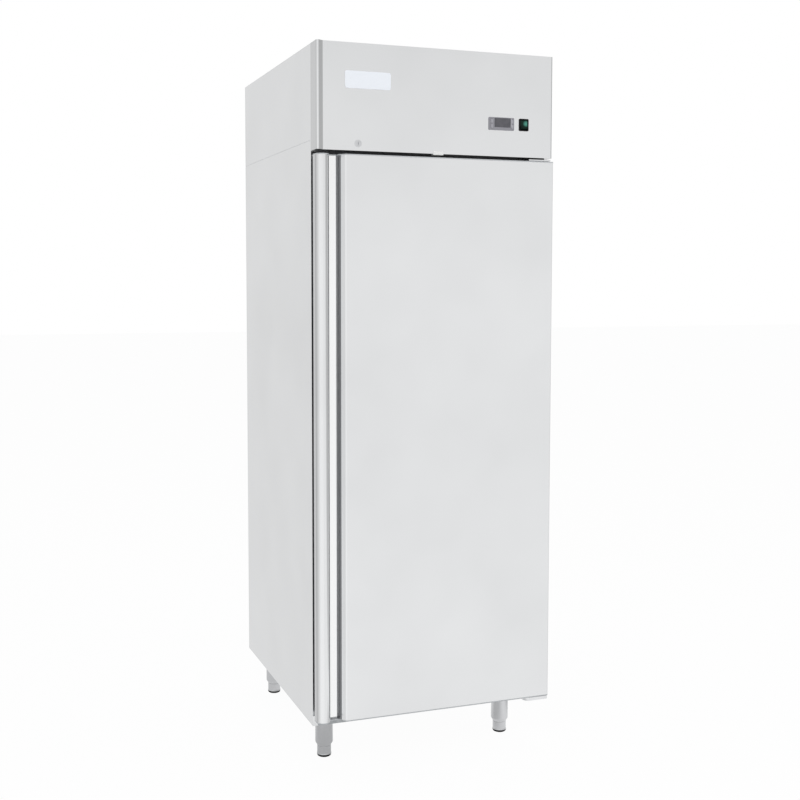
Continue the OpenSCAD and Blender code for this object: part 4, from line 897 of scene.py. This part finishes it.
def studio_bands(tree, place, first=-180):
    """How bright the studio looks from a surface, by the way round it: soft boxes on both sides of
    the stand, with the dark of the room between them. 1 is white"""
    parts = add_node(tree, "ShaderNodeSeparateXYZ", {0: place})
    ahead = add_node(tree, "ShaderNodeMath", {0: parts.outputs["Y"]}, {1: -1.0},
                     operation="MULTIPLY")
    around = add_node(tree, "ShaderNodeMath", {0: parts.outputs["X"], 1: ahead.outputs[0]},
                      operation="ARCTAN2")
    turn = add_node(tree, "ShaderNodeMapRange", {"Value": around.outputs[0]},
                    {"From Min": -math.pi, "From Max": math.pi})
    bands = [(-180, 0.815), (-157, 0.805), (-146, 0.70), (-128, 0.60), (-108, 0.63), (-90, 0.74),
             (-71, 0.88), (-50, 1.0), (-5, 1.0), (13, 0.935), (32, 0.935), (44, 0.70), (62, 0.53),
             (92, 0.46), (120, 0.48), (150, 0.74), (165, 0.815)]
    return ramp(tree, turn.outputs["Result"],
                [((a + 180) / 360, tone) for a, tone in bands if a >= first])


def seen_directly(tree):
    """1 for rays from the lens and from mirrors and glass, 0 for light that falls on things"""
    path = add_node(tree, "ShaderNodeLightPath")
    seen = add_node(tree, "ShaderNodeMath",
                    {0: path.outputs["Is Camera Ray"], 1: path.outputs["Is Glossy Ray"]},
                    operation="MAXIMUM")
    seen = add_node(tree, "ShaderNodeMath",
                    {0: seen.outputs[0], 1: path.outputs["Is Transmission Ray"]},
                    operation="MAXIMUM")
    return path, seen.outputs[0]


def make_floor():
    """Pale floor that keeps the shadow and shows white to the camera, with painted light and shade on
    it that only metal sees
    """
    mat = bpy.data.materials.new("studio_floor")
    mat.use_nodes = True
    tree = mat.node_tree
    tree.nodes.clear()
    path, seen = seen_directly(tree)
    where = add_node(tree, "ShaderNodeTexCoord").outputs["Object"]
    parts = add_node(tree, "ShaderNodeSeparateXYZ", {0: where})
    # Painted shade: close to the legs the floor's tone is darkened for the stand's shade, which ends
    # at the right-hand leg
    across = add_node(tree, "ShaderNodeMapRange", {"Value": parts.outputs["X"]},
                      {"From Min": -0.6, "From Max": 0.6})
    painted_shade_near_legs = ramp(tree, across.outputs["Result"],
                    [(0, 0.66), (0.225, 0.62), (0.41, 0.66), (0.6, 0.62), (0.66, 0.70),
                     (0.73, 0.88), (0.82, 1.0)])
    # Painted light and shade: the studio's bands are painted on the floor, spreading from the object's
    # two front corners
    moved = add_node(tree, "ShaderNodeMapping", {"Vector": where}, {"Location": (0.33, 0.39, 0)})
    other = add_node(tree, "ShaderNodeMapping", {"Vector": where}, {"Location": (-0.33, 0.39, 0)})
    side = add_node(tree, "ShaderNodeMapRange", {"Value": parts.outputs["X"]},
                    {"From Min": -0.33, "From Max": -0.13})
    spread = add_node(tree, "ShaderNodeMixRGB",
                      {0: side.outputs["Result"], 1: studio_bands(tree, moved.outputs["Vector"]),
                       2: studio_bands(tree, other.outputs["Vector"], 13)})
    wide = add_node(tree, "ShaderNodeMath", {0: parts.outputs["X"]}, operation="ABSOLUTE")
    outside = add_node(tree, "ShaderNodeMapRange", {"Value": wide.outputs[0]},
                       {"From Min": 0.33, "From Max": 30.33, "To Max": 30.0})
    ahead = add_node(tree, "ShaderNodeMath", {0: parts.outputs["Y"]}, {1: 0.39})
    offset = add_node(tree, "ShaderNodeCombineXYZ",
                      {"X": outside.outputs["Result"], "Y": ahead.outputs[0]})
    away = add_node(tree, "ShaderNodeVectorMath", {0: offset.outputs[0]}, operation="LENGTH")
    far = add_node(tree, "ShaderNodeMapRange", {"Value": away.outputs["Value"]},
                   {"From Min": 0.17, "From Max": 0.36})
    # Painted light and shade on the floor, seen only in reflections
    painted_floor_light_and_shade = add_node(tree, "ShaderNodeMixRGB",
                   {0: far.outputs["Result"], 1: painted_shade_near_legs, 2: spread.outputs[0]})
    tone = add_node(tree, "ShaderNodeMixRGB",
                    {0: path.outputs["Is Glossy Ray"], 2: painted_floor_light_and_shade.outputs[0]}, {1: (1, 1, 1, 1)})
    plain = add_node(tree, "ShaderNodeBsdfDiffuse", values={"Color": linear("#fafafa")})
    white = add_node(tree, "ShaderNodeEmission", {"Color": tone.outputs[0]}, {"Strength": 1.0})
    share = add_node(tree, "ShaderNodeMath", {0: seen}, {1: 0.965}, operation="MULTIPLY")
    mixed = add_node(tree, "ShaderNodeMixShader",
                     {0: share.outputs[0], 1: plain.outputs[0], 2: white.outputs[0]})
    add_node(tree, "ShaderNodeOutputMaterial", {"Surface": mixed.outputs[0]})
    floor = mesh_from("studio_floor", [(-30, -30, 0), (30, -30, 0), (30, 30, 0), (-30, 30, 0)],
                      [[0, 1, 2, 3]], mat)


def make_world():
    """White backdrop, with the studio's bands in reflections"""
    world = bpy.data.worlds.new("studio")
    scene.world = world
    world.use_nodes = True
    tree = world.node_tree
    tree.nodes.clear()
    path, seen = seen_directly(tree)
    where = add_node(tree, "ShaderNodeTexCoord").outputs["Generated"]
    parts = add_node(tree, "ShaderNodeSeparateXYZ", {0: where})
    # The boxes in front fade a little towards the ceiling
    rise = add_node(tree, "ShaderNodeMath", {0: parts.outputs["Y"], 1: parts.outputs["Z"]},
                    operation="MULTIPLY")
    fall = add_node(tree, "ShaderNodeMath", {0: rise.outputs[0]}, {1: 0.55, 2: 1.0},
                    operation="MULTIPLY_ADD", use_clamp=True)
    bands = add_node(tree, "ShaderNodeVectorMath",
                     {0: studio_bands(tree, where), "Scale": fall.outputs[0]}, operation="SCALE")
    mirror = add_node(tree, "ShaderNodeMixRGB",
                      {0: path.outputs["Is Glossy Ray"], 2: bands.outputs[0]},
                      {1: (1, 1, 1, 1)})
    shown = add_node(tree, "ShaderNodeBackground", {"Color": mirror.outputs[0]},
                     {"Strength": 1.0})
    ambient = add_node(tree, "ShaderNodeBackground",
                       values={"Color": (0.97, 0.98, 1.0, 1), "Strength": 0.55})
    mixed = add_node(tree, "ShaderNodeMixShader",
                     {0: seen, 1: ambient.outputs[0], 2: shown.outputs[0]})
    add_node(tree, "ShaderNodeOutputWorld", {"Surface": mixed.outputs[0]})


def soft_box(name, place, aim, size, power):
    """A lamp that lights paint, plastic and the floor. Metal shows the studio's bands instead"""
    data = bpy.data.lights.new(name, "AREA")
    data.shape = "RECTANGLE"
    data.size, data.size_y = size
    data.energy = power
    lamp = bpy.data.objects.new(name, data)
    lamp.location = place
    lamp.rotation_euler = (Vector(aim) - Vector(place)).to_track_quat("-Z", "Y").to_euler()
    lamp.visible_glossy = False
    scene.collection.objects.link(lamp)


make_floor()
make_world()
soft_box("key_box", (-2.6, -3.6, 3.4), (0, 0, 1.0), (2.2, 2.2), 60)
soft_box("fill_box", (3.0, -3.0, 2.2), (0, 0, 1.0), (2.0, 2.6), 30)
soft_box("top_box", (0.2, 0.6, 4.6), (0, 0, 1.0), (2.4, 2.4), 30)
scene.view_settings.view_transform = "Standard"
